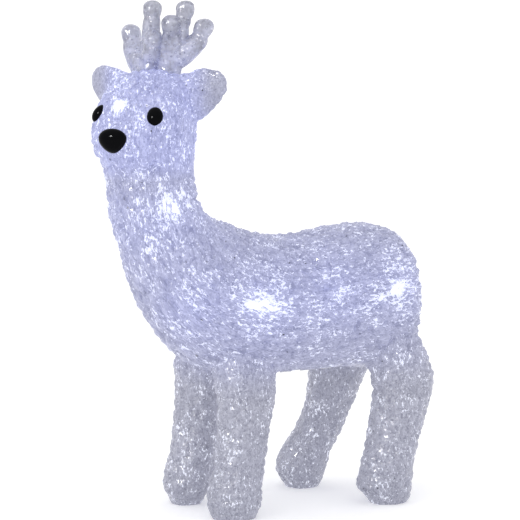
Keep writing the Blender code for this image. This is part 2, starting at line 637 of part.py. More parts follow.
def make_battery_box():
    """The box between the shells: cell bay, flange, switch bay, board posts and screw boss."""
    inner_x = BOX_HALF_X
    outer_x = BOX_HALF_X + BOX_WALL
    outer_y = BOX_HALF_Y + BOX_WALL
    low_y = BOX_CENTRE_Y - outer_y
    high_y = BOX_CENTRE_Y + outer_y
    bay_end = BOX_CENTRE_Y + BOX_HALF_Y + BAY_LENGTH + BOX_WALL
    body = add_object("battery_box", box((-outer_x, low_y, RIM_Z), (outer_x, high_y, BOX_TOP_Z + BOX_WALL)),
                      "grey_plastic", origin=(0.0, BOX_CENTRE_Y, RIM_Z))
    joined = [
        ("box_flange", box((-FLANGE_HALF_X, low_y - 2.5, FLANGE_Z),
                           (FLANGE_HALF_X, bay_end + 2.0, FLANGE_Z + FLANGE_THICKNESS))),
        ("switch_bay", box((-BAY_HALF_X, high_y + GAP + 0.1, BAY_Z),
                           (BAY_HALF_X, bay_end, FLANGE_Z + OVERLAP))),
        ("bay_bridge", box((-BAY_HALF_X, high_y - OVERLAP, RIM_Z),
                           (BAY_HALF_X, high_y + 1.0, FLANGE_Z + OVERLAP))),
        ("screw_boss", rod((SCREW_X, BOX_CENTRE_Y, RIM_Z), (SCREW_X, BOX_CENTRE_Y, FLANGE_Z + OVERLAP),
                           BOSS_RADIUS)),
    ]
    for sign in (-1, 1):
        foot = (0.0, BOX_CENTRE_Y + sign * POST_OFFSET, BOX_TOP_Z + 0.5)
        head = (0.0, foot[1], BOX_TOP_Z + BOX_WALL + POST_HEIGHT)
        joined.append((f"board_post_{sign + 2}", rod(foot, head, POST_RADIUS, 12)))
    joined.append(("hinge_lug", hinge_knuckle(0.0)))
    joined.append(("hinge_lug_arm", box((outer_x - 0.5, BOX_CENTRE_Y - KNUCKLE_LENGTH / 2, RIM_Z),
                                        (HINGE_X + 0.6, BOX_CENTRE_Y + KNUCKLE_LENGTH / 2, RIM_Z + 1.8))))
    for name, shape in joined:
        combine(body, add_tool(name, shape), "UNION")
    cuts = [
        ("cell_bay", box((-inner_x, BOX_CENTRE_Y - BOX_HALF_Y, RIM_Z - 2.0),
                         (inner_x, BOX_CENTRE_Y + BOX_HALF_Y, BOX_TOP_Z))),
        ("bay_inside", box((-BAY_HALF_X + BOX_WALL, high_y + GAP + 1.6, BAY_Z + BAY_FLOOR),
                           (BAY_HALF_X - BOX_WALL, bay_end - BOX_WALL, FLANGE_Z + 4.0))),
        ("knob_slot", box((-KNOB_TRAVEL - KNOB_HALF - 0.5, SWITCH_Y - KNOB_HALF - 0.4, BAY_Z - 2.0),
                          (KNOB_TRAVEL + KNOB_HALF + 0.5, SWITCH_Y + KNOB_HALF + 0.4,
                           BAY_Z + BAY_FLOOR + 1.0))),
        ("screw_bore", rod((SCREW_X, BOX_CENTRE_Y, RIM_Z - 2.0),
                           (SCREW_X, BOX_CENTRE_Y, RIM_Z + SCREW_LENGTH), SCREW_HOLE)),
        ("hinge_lug_bore", rod((HINGE_X, BOX_CENTRE_Y - KNUCKLE_LENGTH, HINGE_Z),
                               (HINGE_X, BOX_CENTRE_Y + KNUCKLE_LENGTH, HINGE_Z), HINGE_BORE, 12)),
    ]
    for sign in (-1, 1):
        foot_y = BOX_CENTRE_Y + sign * POST_OFFSET
        cuts.append((f"post_bore_{sign + 2}", rod((0.0, foot_y, BOX_TOP_Z + BOX_WALL - 0.4),
                                                  (0.0, foot_y, BOARD_Z + 5.0), POST_HOLE, 10)))
        tab_x = -sign * CELL_PITCH
        tab_y = BOX_CENTRE_Y + sign * (BOX_HALF_Y - GAP - PLATE_THICKNESS / 2)
        cuts.append((f"tab_slot_{sign + 2}", box((tab_x - 1.6, tab_y - 0.8, BOX_TOP_Z - 0.5),
                                                 (tab_x + 1.6, tab_y + 0.55, BOX_TOP_Z + BOX_WALL + 1.0))))
    for name, shape in cuts:
        combine(body, add_tool(name, shape), "DIFFERENCE")


def hinge_knuckle(offset):
    """A barrel on the hinge's axis, centred a distance along Y from the middle of the box."""
    middle = BOX_CENTRE_Y + offset
    half = KNUCKLE_LENGTH / 2
    return rod((HINGE_X, middle - half, HINGE_Z), (HINGE_X, middle + half, HINGE_Z), HINGE_RADIUS, 16)


def make_door():
    """The door, its gasket, its hinge pin and its captive screw."""
    outer_x = BOX_HALF_X + BOX_WALL + DOOR_MARGIN
    outer_y = BOX_HALF_Y + BOX_WALL
    top = DOOR_Z + DOOR_THICKNESS
    low_y = BOX_CENTRE_Y - outer_y
    high_y = BOX_CENTRE_Y + outer_y
    door = add_object("battery_door", box((DOOR_EDGE_X, low_y, DOOR_Z), (outer_x, high_y, top)), "grey_plastic",
                      joint=door_joint)
    for i, place in enumerate(KNUCKLE_PLACES):
        arm = box((outer_x - 0.5, BOX_CENTRE_Y + place - KNUCKLE_LENGTH / 2, DOOR_Z),
                  (HINGE_X, BOX_CENTRE_Y + place + KNUCKLE_LENGTH / 2, top))
        combine(door, add_tool(f"door_knuckle_{i + 1}", hinge_knuckle(place), door_joint), "UNION")
        combine(door, add_tool(f"door_arm_{i + 1}", arm, door_joint), "UNION")
    bore = rod((HINGE_X, low_y - 1.0, HINGE_Z), (HINGE_X, high_y + 1.0, HINGE_Z), HINGE_BORE, 12)
    combine(door, add_tool("door_bore", bore, door_joint), "DIFFERENCE")
    hole = rod((SCREW_X, BOX_CENTRE_Y, DOOR_Z - 2.0), (SCREW_X, BOX_CENTRE_Y, top + 2.0),
               SCREW_RADIUS + GAP, 16)
    combine(door, add_tool("door_screw_hole", hole, door_joint), "DIFFERENCE")
    recess = rod((SCREW_X, BOX_CENTRE_Y, DOOR_Z - 2.0), (SCREW_X, BOX_CENTRE_Y, DOOR_Z + SCREW_HEAD_HEIGHT),
                 SCREW_HEAD_RADIUS + GAP, 16)
    combine(door, add_tool("door_screw_recess", recess, door_joint), "DIFFERENCE")
    seal_low = top + GAP
    seal_x = BOX_HALF_X + BOX_WALL
    gasket = add_object("door_gasket", box((-seal_x, low_y + 0.2, seal_low),
                                           (seal_x, high_y - 0.2, seal_low + GASKET_HEIGHT)),
                        "rubber_grey", joint=door_joint)
    seal_hole = box((-BOX_HALF_X, BOX_CENTRE_Y - BOX_HALF_Y, seal_low - 1.0),
                    (BOX_HALF_X, BOX_CENTRE_Y + BOX_HALF_Y, seal_low + 2.0))
    combine(gasket, add_tool("gasket_hole", seal_hole, door_joint), "DIFFERENCE")
    pin = rod((HINGE_X, BOX_CENTRE_Y - PIN_HALF_LENGTH, HINGE_Z),
              (HINGE_X, BOX_CENTRE_Y + PIN_HALF_LENGTH, HINGE_Z), PIN_RADIUS, 12)
    add_object("door_hinge_pin", pin, "steel", origin=(HINGE_X, BOX_CENTRE_Y, HINGE_Z))
    head_low = DOOR_Z - 0.2
    head_high = DOOR_Z + SCREW_HEAD_HEIGHT - GAP
    head = rod((SCREW_X, BOX_CENTRE_Y, head_low), (SCREW_X, BOX_CENTRE_Y, head_high), SCREW_HEAD_RADIUS, 20)
    screw = add_object("door_screw", head, "steel", joint=screw_joint)
    shank = rod((SCREW_X, BOX_CENTRE_Y, head_low + 0.5), (SCREW_X, BOX_CENTRE_Y, head_low + SCREW_LENGTH),
                SCREW_RADIUS, 12, end_radius=SCREW_RADIUS * 0.75)
    combine(screw, add_tool("screw_shank", shank, screw_joint), "UNION")
    slot = box((SCREW_X - SCREW_HEAD_RADIUS - 1.0, BOX_CENTRE_Y - 0.35, head_low - 1.0),
               (SCREW_X + SCREW_HEAD_RADIUS + 1.0, BOX_CENTRE_Y + 0.35, head_low + 0.6))
    combine(screw, add_tool("screw_slot", slot, screw_joint), "DIFFERENCE")


def make_cells():
    """Three cells in series, with a spring behind each negative end and plates across the ends."""
    for number, slot in enumerate(CELL_SLOTS, start=1):
        x = slot * CELL_PITCH
        plus_way = -1 if slot == 0 else 1      # the middle cell lies the other way round
        plus_face = BOX_CENTRE_Y + plus_way * (BOX_HALF_Y - GAP - PLATE_THICKNESS - GAP)
        shoulder = plus_face - plus_way * NUB_LENGTH
        tail = shoulder - plus_way * CELL_LENGTH
        cell = add_object(f"cell_{number}", rod((x, tail, CELL_Z), (x, shoulder, CELL_Z), CELL_RADIUS, 20),
                          "cell_jacket", origin=(x, BOX_CENTRE_Y, CELL_Z))
        nub = rod((x, shoulder - plus_way * 1.0, CELL_Z), (x, plus_face, CELL_Z), NUB_RADIUS, 12)
        combine(cell, add_tool(f"cell_nub_{number}", nub), "UNION")
        make_spring(number, x, tail - plus_way * GAP, -plus_way)
    for name, slots, end, tab in PLATES:
        xs = [slot * CELL_PITCH for slot in slots]
        middle = BOX_CENTRE_Y + end * (BOX_HALF_Y - GAP - PLATE_THICKNESS / 2)
        half_t = PLATE_THICKNESS / 2
        plate = add_object(name, box((min(xs) - PLATE_HALF, middle - half_t, CELL_Z - PLATE_HALF),
                                     (max(xs) + PLATE_HALF, middle + half_t, CELL_Z + PLATE_HALF)),
                           "steel", origin=(sum(xs) / len(xs), middle, CELL_Z))
        if tab:
            strip = box((xs[0] - 1.0, middle - half_t, CELL_Z), (xs[0] + 1.0, middle + half_t,
                                                                  BOX_TOP_Z + BOX_WALL + TAB_PROUD))
            combine(plate, add_tool(f"{name}_tab", strip), "UNION")


def make_spring(number, x, start_y, way):
    """A conical coil along Y, between a cell's negative end and its plate."""
    curve = bpy.data.curves.new(f"cell_spring_{number}", "CURVE")
    curve.dimensions = "3D"
    curve.bevel_depth = SPRING_WIRE * MM
    curve.bevel_resolution = 1
    curve.use_fill_caps = True
    count = int(SPRING_TURNS * SPRING_STEPS) + 1
    spline = curve.splines.new("POLY")
    spline.points.add(count - 1)
    run = SPRING_LENGTH - 2 * SPRING_WIRE
    for i in range(count):
        share = i / (count - 1)
        angle = 2 * math.pi * SPRING_TURNS * share
        radius = SPRING_SMALL + (SPRING_LARGE - SPRING_SMALL) * share
        y = way * (SPRING_WIRE + run * share)
        spline.points[i].co = (radius * math.cos(angle) * MM, y * MM, radius * math.sin(angle) * MM, 1.0)
    spring = bpy.data.objects.new(f"cell_spring_{number}", curve)
    bpy.context.collection.objects.link(spring)
    spring.parent = root
    spring.location = Vector((x, start_y, CELL_Z)) * MM
    curve.materials.append(material("steel"))


def make_switch():
    """The slide switch in its bay, with its knob through the bay's floor."""
    body_low = BAY_Z + BAY_FLOOR + GAP
    add_object("switch_body", box((-BAY_HALF_X + BOX_WALL + 0.5, SWITCH_Y - 3.0, body_low),
                                  (BAY_HALF_X - BOX_WALL - 0.5, SWITCH_Y + 3.0, body_low + 5.0)),
               "black_plastic", origin=(0.0, SWITCH_Y, body_low))
    add_object("switch_knob", box((-KNOB_HALF, SWITCH_Y - KNOB_HALF, BAY_Z - KNOB_PROUD),
                                  (KNOB_HALF, SWITCH_Y + KNOB_HALF, body_low - GAP)),
               "black_plastic", joint=knob_joint)


def make_board():
    """The timer board on its two posts, with its chip, its string terminal and its screws."""
    half_x, half_y = BOARD_HALF
    board = add_object("circuit_board", box((-half_x, BOX_CENTRE_Y - half_y, BOARD_Z),
                                            (half_x, BOX_CENTRE_Y + half_y, BOARD_Z + BOARD_THICKNESS)),
                       "board_green", origin=(0.0, BOX_CENTRE_Y, BOARD_Z))
    top = BOARD_Z + BOARD_THICKNESS + GAP
    for i, sign in enumerate((-1, 1)):
        y = BOX_CENTRE_Y + sign * POST_OFFSET
        hole = rod((0.0, y, BOARD_Z - 1.0), (0.0, y, BOARD_Z + 3.0), POST_HOLE, 10)
        combine(board, add_tool(f"board_hole_{i + 1}", hole), "DIFFERENCE")
        head = rod((0.0, y, top), (0.0, y, top + 1.2), 2.0, 14)
        screw = add_object(f"board_screw_{i + 1}", head, "steel", origin=(0.0, y, top))
        shank = rod((0.0, y, BOX_TOP_Z + BOX_WALL), (0.0, y, top + 0.5), POST_HOLE - GAP, 10)
        combine(screw, add_tool(f"board_screw_shank_{i + 1}", shank), "UNION")
    add_object("timer_chip", box((-4.0, BOX_CENTRE_Y - 7.5, top), (3.0, BOX_CENTRE_Y - 1.5, top + 1.6)),
               "black_plastic", origin=(-0.5, BOX_CENTRE_Y - 4.5, top))
    terminal = box((-3.5, BOX_CENTRE_Y + 3.0, top), (3.5, BOX_CENTRE_Y + 9.0, TERMINAL_TOP))
    add_object("string_terminal", terminal, "grey_plastic", origin=(0.0, BOX_CENTRE_Y + 6.0, top))


def smooth_route(points, spacing):
    """Points a given distance apart, read from a smooth curve through the route's own points."""
    points = [Vector(point) for point in points]
    ends = [points[0] * 2 - points[1], *points, points[-1] * 2 - points[-2]]
    fine = []
    for i in range(1, len(ends) - 2):
        a, b, c, d = ends[i - 1:i + 3]
        for step in range(FINE_STEPS):
            t = step / FINE_STEPS
            fine.append(0.5 * ((2 * b) + (c - a) * t + (2 * a - 5 * b + 4 * c - d) * t ** 2
                               + (3 * b - a - 3 * c + d) * t ** 3))
    fine.append(points[-1])
    length = sum((q - p).length for p, q in zip(fine, fine[1:]))
    count = max(3, round(length / spacing))
    picked = [fine[0]]
    walked = 0.0
    for p, q in zip(fine, fine[1:]):
        walked += (q - p).length
        if walked >= length * len(picked) / count:
            picked.append(q)
    if (picked[-1] - fine[-1]).length > 0.01:
        picked.append(fine[-1])
    return picked


def add_wire(name, route, radius, finish, spacing):
    """A round wire along a route."""
    curve = bpy.data.curves.new(name, "CURVE")
    curve.dimensions = "3D"
    curve.bevel_depth = radius * MM
    curve.bevel_resolution = 1
    curve.use_fill_caps = True
    picked = smooth_route(route, spacing)
    spline = curve.splines.new("POLY")
    spline.points.add(len(picked) - 1)
    for point, place in zip(spline.points, picked):
        point.co = (*(place * MM), 1.0)
    wire = bpy.data.objects.new(name, curve)
    bpy.context.collection.objects.link(wire)
    wire.parent = root
    curve.materials.append(material(finish))


def make_string():
    """The LED string: one wire through the whole body, with a small lamp at each LED place."""
    add_wire("led_string_wire", WIRE_ROUTE, WIRE_RADIUS, "wire_clear", WIRE_SPACING)
    for name, base, direction in LEDS:
        base = Vector(base)
        way = Vector(direction).normalized()
        ends = (base + way * (LED_RADIUS + GAP), base + way * (LED_LENGTH - LED_RADIUS))
        add_object(name, tube(ends, (LED_RADIUS, LED_RADIUS), LED_SIDES), "led_lens", origin=base)


def make_leads():
    """The two short leads from the terminal plates' tabs to the underside of the board."""
    ends = ((1, "battery_lead_plus", "wire_red"), (-1, "battery_lead_minus", "wire_black"))
    for sign, name, finish in ends:
        x = -sign * CELL_PITCH
        y = BOX_CENTRE_Y + sign * (BOX_HALF_Y - GAP - PLATE_THICKNESS / 2)
        start_z = BOX_TOP_Z + BOX_WALL + TAB_PROUD + GAP + LEAD_RADIUS
        near_y = BOX_CENTRE_Y + sign * (BOARD_HALF[1] - 3.0)
        edge_x = -sign * (BOARD_HALF[0] + GAP + LEAD_RADIUS)
        route = (
            (x, y, start_z), (x, y - sign * 2.0, start_z + 2.0),
            (x - sign * 0.6, near_y + sign * 3.0, BOARD_Z + 2.6),
            (edge_x, near_y, BOARD_Z + 1.6), (edge_x, near_y - sign * 3.0, BOARD_Z + 0.7),
        )
        add_wire(name, route, LEAD_RADIUS, finish, LEAD_SPACING)


for old in list(bpy.data.objects):
    bpy.data.objects.remove(old, do_unlink=True)

root = add_empty("deer_frame", ORIGIN_SHIFT)
door_pivot = Vector((HINGE_X, BOX_CENTRE_Y, HINGE_Z))
screw_pivot = Vector((SCREW_X, BOX_CENTRE_Y, DOOR_Z))
knob_pivot = Vector((0.0, SWITCH_Y, BAY_Z))
door_empty = add_empty("door_hinge_axis", door_pivot, root)
door_joint = (door_empty, door_pivot)
screw_joint = (add_empty("door_screw_axis", screw_pivot - door_pivot, door_empty), screw_pivot)
knob_joint = (add_empty("switch_knob_axis", knob_pivot, root), knob_pivot)

ring_points, ring_sides = body_rings()
body_tool = add_tool("body_outline", closed_body(ring_points, TRIM_GAP))
body_surface = BVHTree.FromBMesh(closed_body(ring_points, 0.0))
shell_halves = make_shells(ring_points, ring_sides)
make_legs()
make_head_pieces(body_surface, shell_halves)
make_battery_box()
make_door()
make_cells()
make_switch()
make_board()
make_string()
make_leads()
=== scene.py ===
"""Looks of the light up yard reindeer: crinkled clear acrylic skin that glows as if its LEDs lit it from
inside, smooth acrylic antlers, and glossy black eyes and nose. The glow is painted light of the skin's own,
worked out from each point's distance to the LEDs. Lengths are metres unless a comment or a name says
millimetres."""
import json
import math

import bmesh
import bpy
import numpy as np
from mathutils import Matrix, Vector
from mathutils.bvhtree import BVHTree


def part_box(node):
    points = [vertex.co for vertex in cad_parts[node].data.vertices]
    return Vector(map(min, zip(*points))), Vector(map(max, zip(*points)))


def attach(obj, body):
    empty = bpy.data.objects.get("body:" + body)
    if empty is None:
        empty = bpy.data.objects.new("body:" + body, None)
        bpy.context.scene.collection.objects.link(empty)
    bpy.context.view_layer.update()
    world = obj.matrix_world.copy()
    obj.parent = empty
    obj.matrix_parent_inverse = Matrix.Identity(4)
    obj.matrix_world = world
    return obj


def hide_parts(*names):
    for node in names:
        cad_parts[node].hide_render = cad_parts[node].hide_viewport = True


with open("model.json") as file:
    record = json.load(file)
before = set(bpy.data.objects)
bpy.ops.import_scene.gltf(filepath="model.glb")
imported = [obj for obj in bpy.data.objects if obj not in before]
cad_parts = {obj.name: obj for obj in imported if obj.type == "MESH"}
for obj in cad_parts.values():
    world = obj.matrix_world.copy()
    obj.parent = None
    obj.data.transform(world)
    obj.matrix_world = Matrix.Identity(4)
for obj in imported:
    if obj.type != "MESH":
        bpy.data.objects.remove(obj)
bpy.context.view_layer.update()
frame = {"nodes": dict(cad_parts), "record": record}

MM = 0.001
BODY = "reindeer"
CORNERS = ("front_left", "front_right", "rear_left", "rear_right")
SKIN_NODES = (
    ["body_shell_left", "body_shell_right", "ear_left", "ear_right"]
    + [f"leg_{corner}" for corner in CORNERS]
    + [f"hoof_{corner}" for corner in CORNERS]
)
BELLY_FILL = ["battery_box", "battery_door", "door_gasket"]   # they close the belly while the skin is found

# ---- skin meshing ---------------------------------------------------------------------------------
ROUGH_VOXEL = 2.0 * MM        # wide enough to bridge the gaps between the shells and the door
FINE_VOXEL = 1.35 * MM        # fine enough for single strands
PLUG_RADIUS = 3.2 * MM        # closes an eye's or the nose's stem hole
FACET_SMOOTHING = 17          # rounds of averaging that melt the CAD's facets and the creases at the legs
REGROWTH = 0.45 * MM          # what the averaging takes off, put back
SHELL_WALL = 2.6 * MM
BORDER_ROUNDS = 2             # rounds of straightening the borders between the skin's pieces

# ---- the belly's opening ---------------------------------------------------------------------------
OPENING_MARGIN = 0.8 * MM     # air between the door and the skin's edge
OPENING_END_TRIM = 1.2 * MM   # how far the opening stops short of the battery box's rear end
OPENING_DROP = 9.0 * MM       # the opening's box reaches this far below the door
OPENING_RISE = 1.0 * MM       # and this far above it
OPENING_HEADROOM = 6.0 * MM   # skin that folds in no higher than this above the box is cut too
OPENING_RIM = 4.0 * MM        # faces this far round the opening are split along its edges
SLOT_REACH = 9.0 * MM         # the skin keeps this far from the switch knob, all round its slot
UNDERSIDE = -0.3              # a face whose normal's z is below this looks down

# ---- strand direction: a line through the middle of the deer, rump to crown ------------------------
SPINE = ((0.135, 0.147), (0.090, 0.144), (0.045, 0.142), (0.000, 0.143), (-0.035, 0.152), (-0.060, 0.172),
         (-0.075, 0.200), (-0.080, 0.235), (-0.081, 0.270), (-0.081, 0.320))   # y, z
SPINE_BLEND = 0.020           # how far round a point the spine's direction is averaged

# ---- relief of the skin, in millimetres -------------------------------------------------------------
BEAD_SIZE = 5.2               # the strands' rounded beads, seen at the outline
BEAD_STRETCH = 1.15           # how much longer a bead is along the strands
GRAIN_SIZE = 3.0              # the smaller granules on the beads
ROW_PITCH = 5.0               # spacing of the strand rows on the flanks
LUMP_SIZE = 12.0
BEAD_HEIGHT = 4.4
GRAIN_HEIGHT = 1.3
ROW_HEIGHT = 0.9
LUMP_HEIGHT = 0.5
ROW_SHADE = 3.6                # how much paler a row's crest and darker its trough are painted: painted shade, counted as relief
LEG_TOP = 112.0               # heights between which the rows give way to the legs' round beads
LEG_FULL = 88.0


# ======================================= mesh helpers ================================================
def add_mesh(name, mesh):
    """A new object that holds a mesh."""
    made = bpy.data.objects.new(name, mesh)
    bpy.context.collection.objects.link(made)
    return made


def mesh_from_bmesh(name, bm):
    """A new mesh made of a bmesh, which is then freed."""
    mesh = bpy.data.meshes.new(name)
    bm.to_mesh(mesh)
    bm.free()
    return mesh


def evaluated(obj):
    """The mesh of an object with its modifiers applied; the object itself is removed."""
    graph = bpy.context.evaluated_depsgraph_get()
    mesh = bpy.data.meshes.new_from_object(obj.evaluated_get(graph))
    bpy.data.objects.remove(obj, do_unlink=True)
    return mesh


def remeshed(mesh, voxel):
    """The same solid as an even mesh of small squares."""
    work = add_mesh("work", mesh)
    remesh = work.modifiers.new("even", "REMESH")
    remesh.mode = "VOXEL"
    remesh.voxel_size = voxel
    return evaluated(work)


def mesh_points(mesh):
    """The mesh's points as an array."""
    flat = np.empty(len(mesh.vertices) * 3, np.float32)
    mesh.vertices.foreach_get("co", flat)
    return flat.reshape(-1, 3).astype(np.float64)


def set_mesh_points(mesh, points):
    """Move the mesh's points."""
    mesh.vertices.foreach_set("co", points.astype(np.float32).ravel())
    mesh.update()


def mesh_edges(mesh):
    """The mesh's edges as pairs of point numbers."""
    flat = np.empty(len(mesh.edges) * 2, np.int32)
    mesh.edges.foreach_get("vertices", flat)
    return flat.reshape(-1, 2)


def mesh_normals(mesh):
    """The normal at each point."""
    flat = np.empty(len(mesh.vertices) * 3, np.float32)
    mesh.vertex_normals.foreach_get("vector", flat)
    return flat.reshape(-1, 3).astype(np.float64)


def relaxed(points, edges, rounds, share=0.5):
    """Points moved part of the way to the middle of their neighbours, over and over."""
    count = len(points)
    first = edges[:, 0]
    second = edges[:, 1]
    neighbours = np.bincount(edges.ravel(), minlength=count)[:, None]
    for _ in range(rounds):
        total = np.empty_like(points)
        for axis in range(3):
            total[:, axis] = np.bincount(first, points[second, axis], count)
            total[:, axis] += np.bincount(second, points[first, axis], count)
        points = points + (total / neighbours - points) * share
    return points


def largest_island(mesh):
    """Only the outermost connected surface of a mesh."""
    bm = bmesh.new()
    bm.from_mesh(mesh)
    left = set(bm.verts)
    islands = []
    while left:
        front = [left.pop()]
        island = list(front)
        while front:
            vert = front.pop()
            for edge in vert.link_edges:
                other = edge.other_vert(vert)
                if other in left:
                    left.remove(other)
                    island.append(other)
                    front.append(other)
        islands.append(island)
    islands.sort(key=lambda island: max(vert.co.z for vert in island) - min(vert.co.z for vert in island))
    for island in islands[:-1]:
        bmesh.ops.delete(bm, geom=island, context="VERTS")
    return mesh_from_bmesh(mesh.name, bm)


def box_middle(node):
    """The middle of a CAD node's box."""
    low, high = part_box(node)
    return (low + high) / 2


def smoothstep(low, high, values):
    """0 below low, 1 above high, and an even rise between."""
    share = np.clip((values - low) / (high - low), 0.0, 1.0)
    return share * share * (3 - 2 * share)


# ======================================= noise ========================================================
def lattice_random(cells, seed):
    """A repeatable number from 0 to 1 for each whole-number cell."""
    cells = cells.astype(np.int64)
    mixed = cells[..., 0] * 374761393 + cells[..., 1] * 668265263 + cells[..., 2] * 1274126177
    mixed = mixed + seed * 974634777
    mixed &= 0xFFFFFFFF
    mixed = ((mixed ^ (mixed >> 13)) * 1274126177) & 0xFFFFFFFF
    mixed = ((mixed ^ (mixed >> 15)) * 2246822519) & 0xFFFFFFFF
    return ((mixed ^ (mixed >> 16)) & 0xFFFFFF) / 0xFFFFFF


def soft_noise(points, seed):
    """Smooth noise from -1 to 1, with lumps about one unit wide."""
    base = np.floor(points)
    part = points - base
    part = part * part * (3 - 2 * part)
    total = np.zeros(len(points))
    for corner in np.ndindex(2, 2, 2):
        weight = np.prod(np.where(corner, part, 1 - part), axis=1)
        total += weight * lattice_random(base + corner, seed)
    return total * 2 - 1


def grain_noise(points, seed):
    """Rounded grains one unit wide: 1 at a grain's middle, falling to about 0 in the creases."""
    base = np.floor(points)
    nearest = np.full(len(points), 9.0)
    for step in np.ndindex(3, 3, 3):
        cell = base + np.array(step) - 1
        jitter = np.stack([lattice_random(cell, seed + k) for k in range(3)], axis=1)
        distance = ((cell + jitter - points) ** 2).sum(axis=1)
        nearest = np.minimum(nearest, distance)
    return 1 - np.clip(nearest, 0.0, 1.0)


# ======================================= strand coordinates ===========================================
def spine_frames():
    """Points along the spine with their distance along it and their direction."""
    points = np.array([(0.0, y, z) for y, z in SPINE])
    steps = np.diff(points, axis=0)
    lengths = np.linalg.norm(steps, axis=1)
    along = np.concatenate(([0.0], np.cumsum(lengths)))
    places = np.linspace(0.0, along[-1], 60)
    fine = np.stack([np.interp(places, along, points[:, axis]) for axis in range(3)], axis=1)
    fine = np.array([fine[max(0, i - 4):i + 5].mean(axis=0) for i in range(len(fine))])
    ways = np.gradient(fine, axis=0)
    ways /= np.linalg.norm(ways, axis=1)[:, None]
    return fine, places, ways


def strand_coordinates(points):
    """Each point's place across the deer, its height over the spine and its distance along the spine,
    in millimetres. The strands run along the last one."""
    centres, places, ways = spine_frames()
    rises = np.stack([np.zeros(len(ways)), ways[:, 2], -ways[:, 1]], axis=1)
    result = np.zeros((len(points), 3))
    weights = np.zeros(len(points))
    nearest = np.full(len(points), 1e9)
    for centre in centres:
        nearest = np.minimum(nearest, ((points[:, 1:] - centre[1:]) ** 2).sum(axis=1))
    for centre, place, way, rise in zip(centres, places, ways, rises):
        offset = points - centre
        weight = np.exp((nearest - (offset[:, 1:] ** 2).sum(axis=1)) / (2 * SPINE_BLEND ** 2))
        result[:, 0] += weight * points[:, 0]
        result[:, 1] += weight * (offset @ rise)
        result[:, 2] += weight * (place + offset @ way)
        weights += weight
    return result / weights[:, None] / MM


# ======================================= the acrylic skin =============================================
def solid_deer():
    """One closed surface round the whole deer, without the space inside."""
    bm = bmesh.new()
    for name in SKIN_NODES + BELLY_FILL:
        bm.from_mesh(frame["nodes"][name].data)
    for name in ("eye_left", "eye_right", "nose"):
        washer = box_middle(f"{name}_washer")
        middle = box_middle(name)
        way = (middle - washer).normalized()
        plug = washer + way * 4.5 * MM
        bmesh.ops.create_icosphere(bm, subdivisions=2, radius=PLUG_RADIUS, matrix=Matrix.Translation(plug))
    rough = largest_island(remeshed(mesh_from_bmesh("solid", bm), ROUGH_VOXEL))
    return remeshed(rough, FINE_VOXEL)


def relief(points):
    """How far the crinkled acrylic stands out or in at each point, in metres, and how high the point is
    on its strand row, from about -1 to 1."""
    strand = strand_coordinates(points)
    place = points / MM
    leg_share = smoothstep(LEG_TOP, LEG_FULL, place[:, 2])
    head_share = smoothstep(238.0, 262.0, place[:, 2])
    round_share = np.maximum(leg_share, head_share)
    bead_shape = np.array((BEAD_SIZE, BEAD_SIZE, BEAD_SIZE * BEAD_STRETCH))
    beads = grain_noise(strand / bead_shape, 21) * (1 - round_share)
    beads += grain_noise(place / BEAD_SIZE, 31) * round_share
    grains = grain_noise(place / GRAIN_SIZE, 51)
    wander = 1.4 * soft_noise(place / 16.0, 11) + 0.4 * soft_noise(place / 4.0, 17)
    row_share = (1 - round_share) * (0.6 + 0.4 * soft_noise(place / 22.0, 13))
    rows = (np.abs(np.cos(np.pi * (strand[:, 1] + wander) / ROW_PITCH)) - 0.6) * row_share
    lumps = soft_noise(place / LUMP_SIZE, 41)
    height = (BEAD_HEIGHT * (beads - 0.7) + GRAIN_HEIGHT * (grains - 0.7)
              + ROW_HEIGHT * rows + LUMP_HEIGHT * lumps)
    return height * calm_share(points) * MM, rows


def calm_share(points):
    """1 over most of the skin, and less round the eyes, the nose, the belly door and the soles."""
    share = smoothstep(0.5 * MM, 9.0 * MM, points[:, 2]) * 0.8 + 0.2
    share[points[:, 2] < 0.6 * MM] = 0.0
    for name, near, far in (("eye_left", 5.0, 11.0), ("eye_right", 5.0, 11.0), ("nose", 8.0, 15.0)):
        distance = np.linalg.norm(points - np.array(box_middle(name)), axis=1)
        share *= 0.15 + 0.85 * smoothstep(near * MM, far * MM, distance)
    low, high = door_opening()
    outside = np.maximum(np.array(low[:2]) - points[:, :2], points[:, :2] - np.array(high[:2])).max(axis=1)
    below = smoothstep(high[2] + 8.0 * MM, high[2], points[:, 2])
    share *= 1 - below * smoothstep(6.0 * MM, 1.0 * MM, outside)
    share *= 1 - 0.35 * smoothstep(LEG_TOP * MM, LEG_FULL * MM, points[:, 2])
    for name, smallest in (("ear_right", 0.12), ("ear_left", 0.35)):
        distance = np.linalg.norm(points - np.array(box_middle(name)), axis=1)
        share *= smallest + (1 - smallest) * smoothstep(22.0 * MM, 29.0 * MM, distance)
    return share


def door_opening():
    """The box that the belly's opening cuts from the skin, round the door, its hinge and the switch."""
    door_low, door_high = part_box("battery_door")
    _, box_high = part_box("battery_box")
    low = Vector((door_low.x - OPENING_MARGIN, door_low.y - OPENING_MARGIN, door_low.z - OPENING_DROP))
    high = Vector((door_high.x + OPENING_MARGIN, box_high.y - OPENING_END_TRIM, door_high.z + OPENING_RISE))
    return low, high


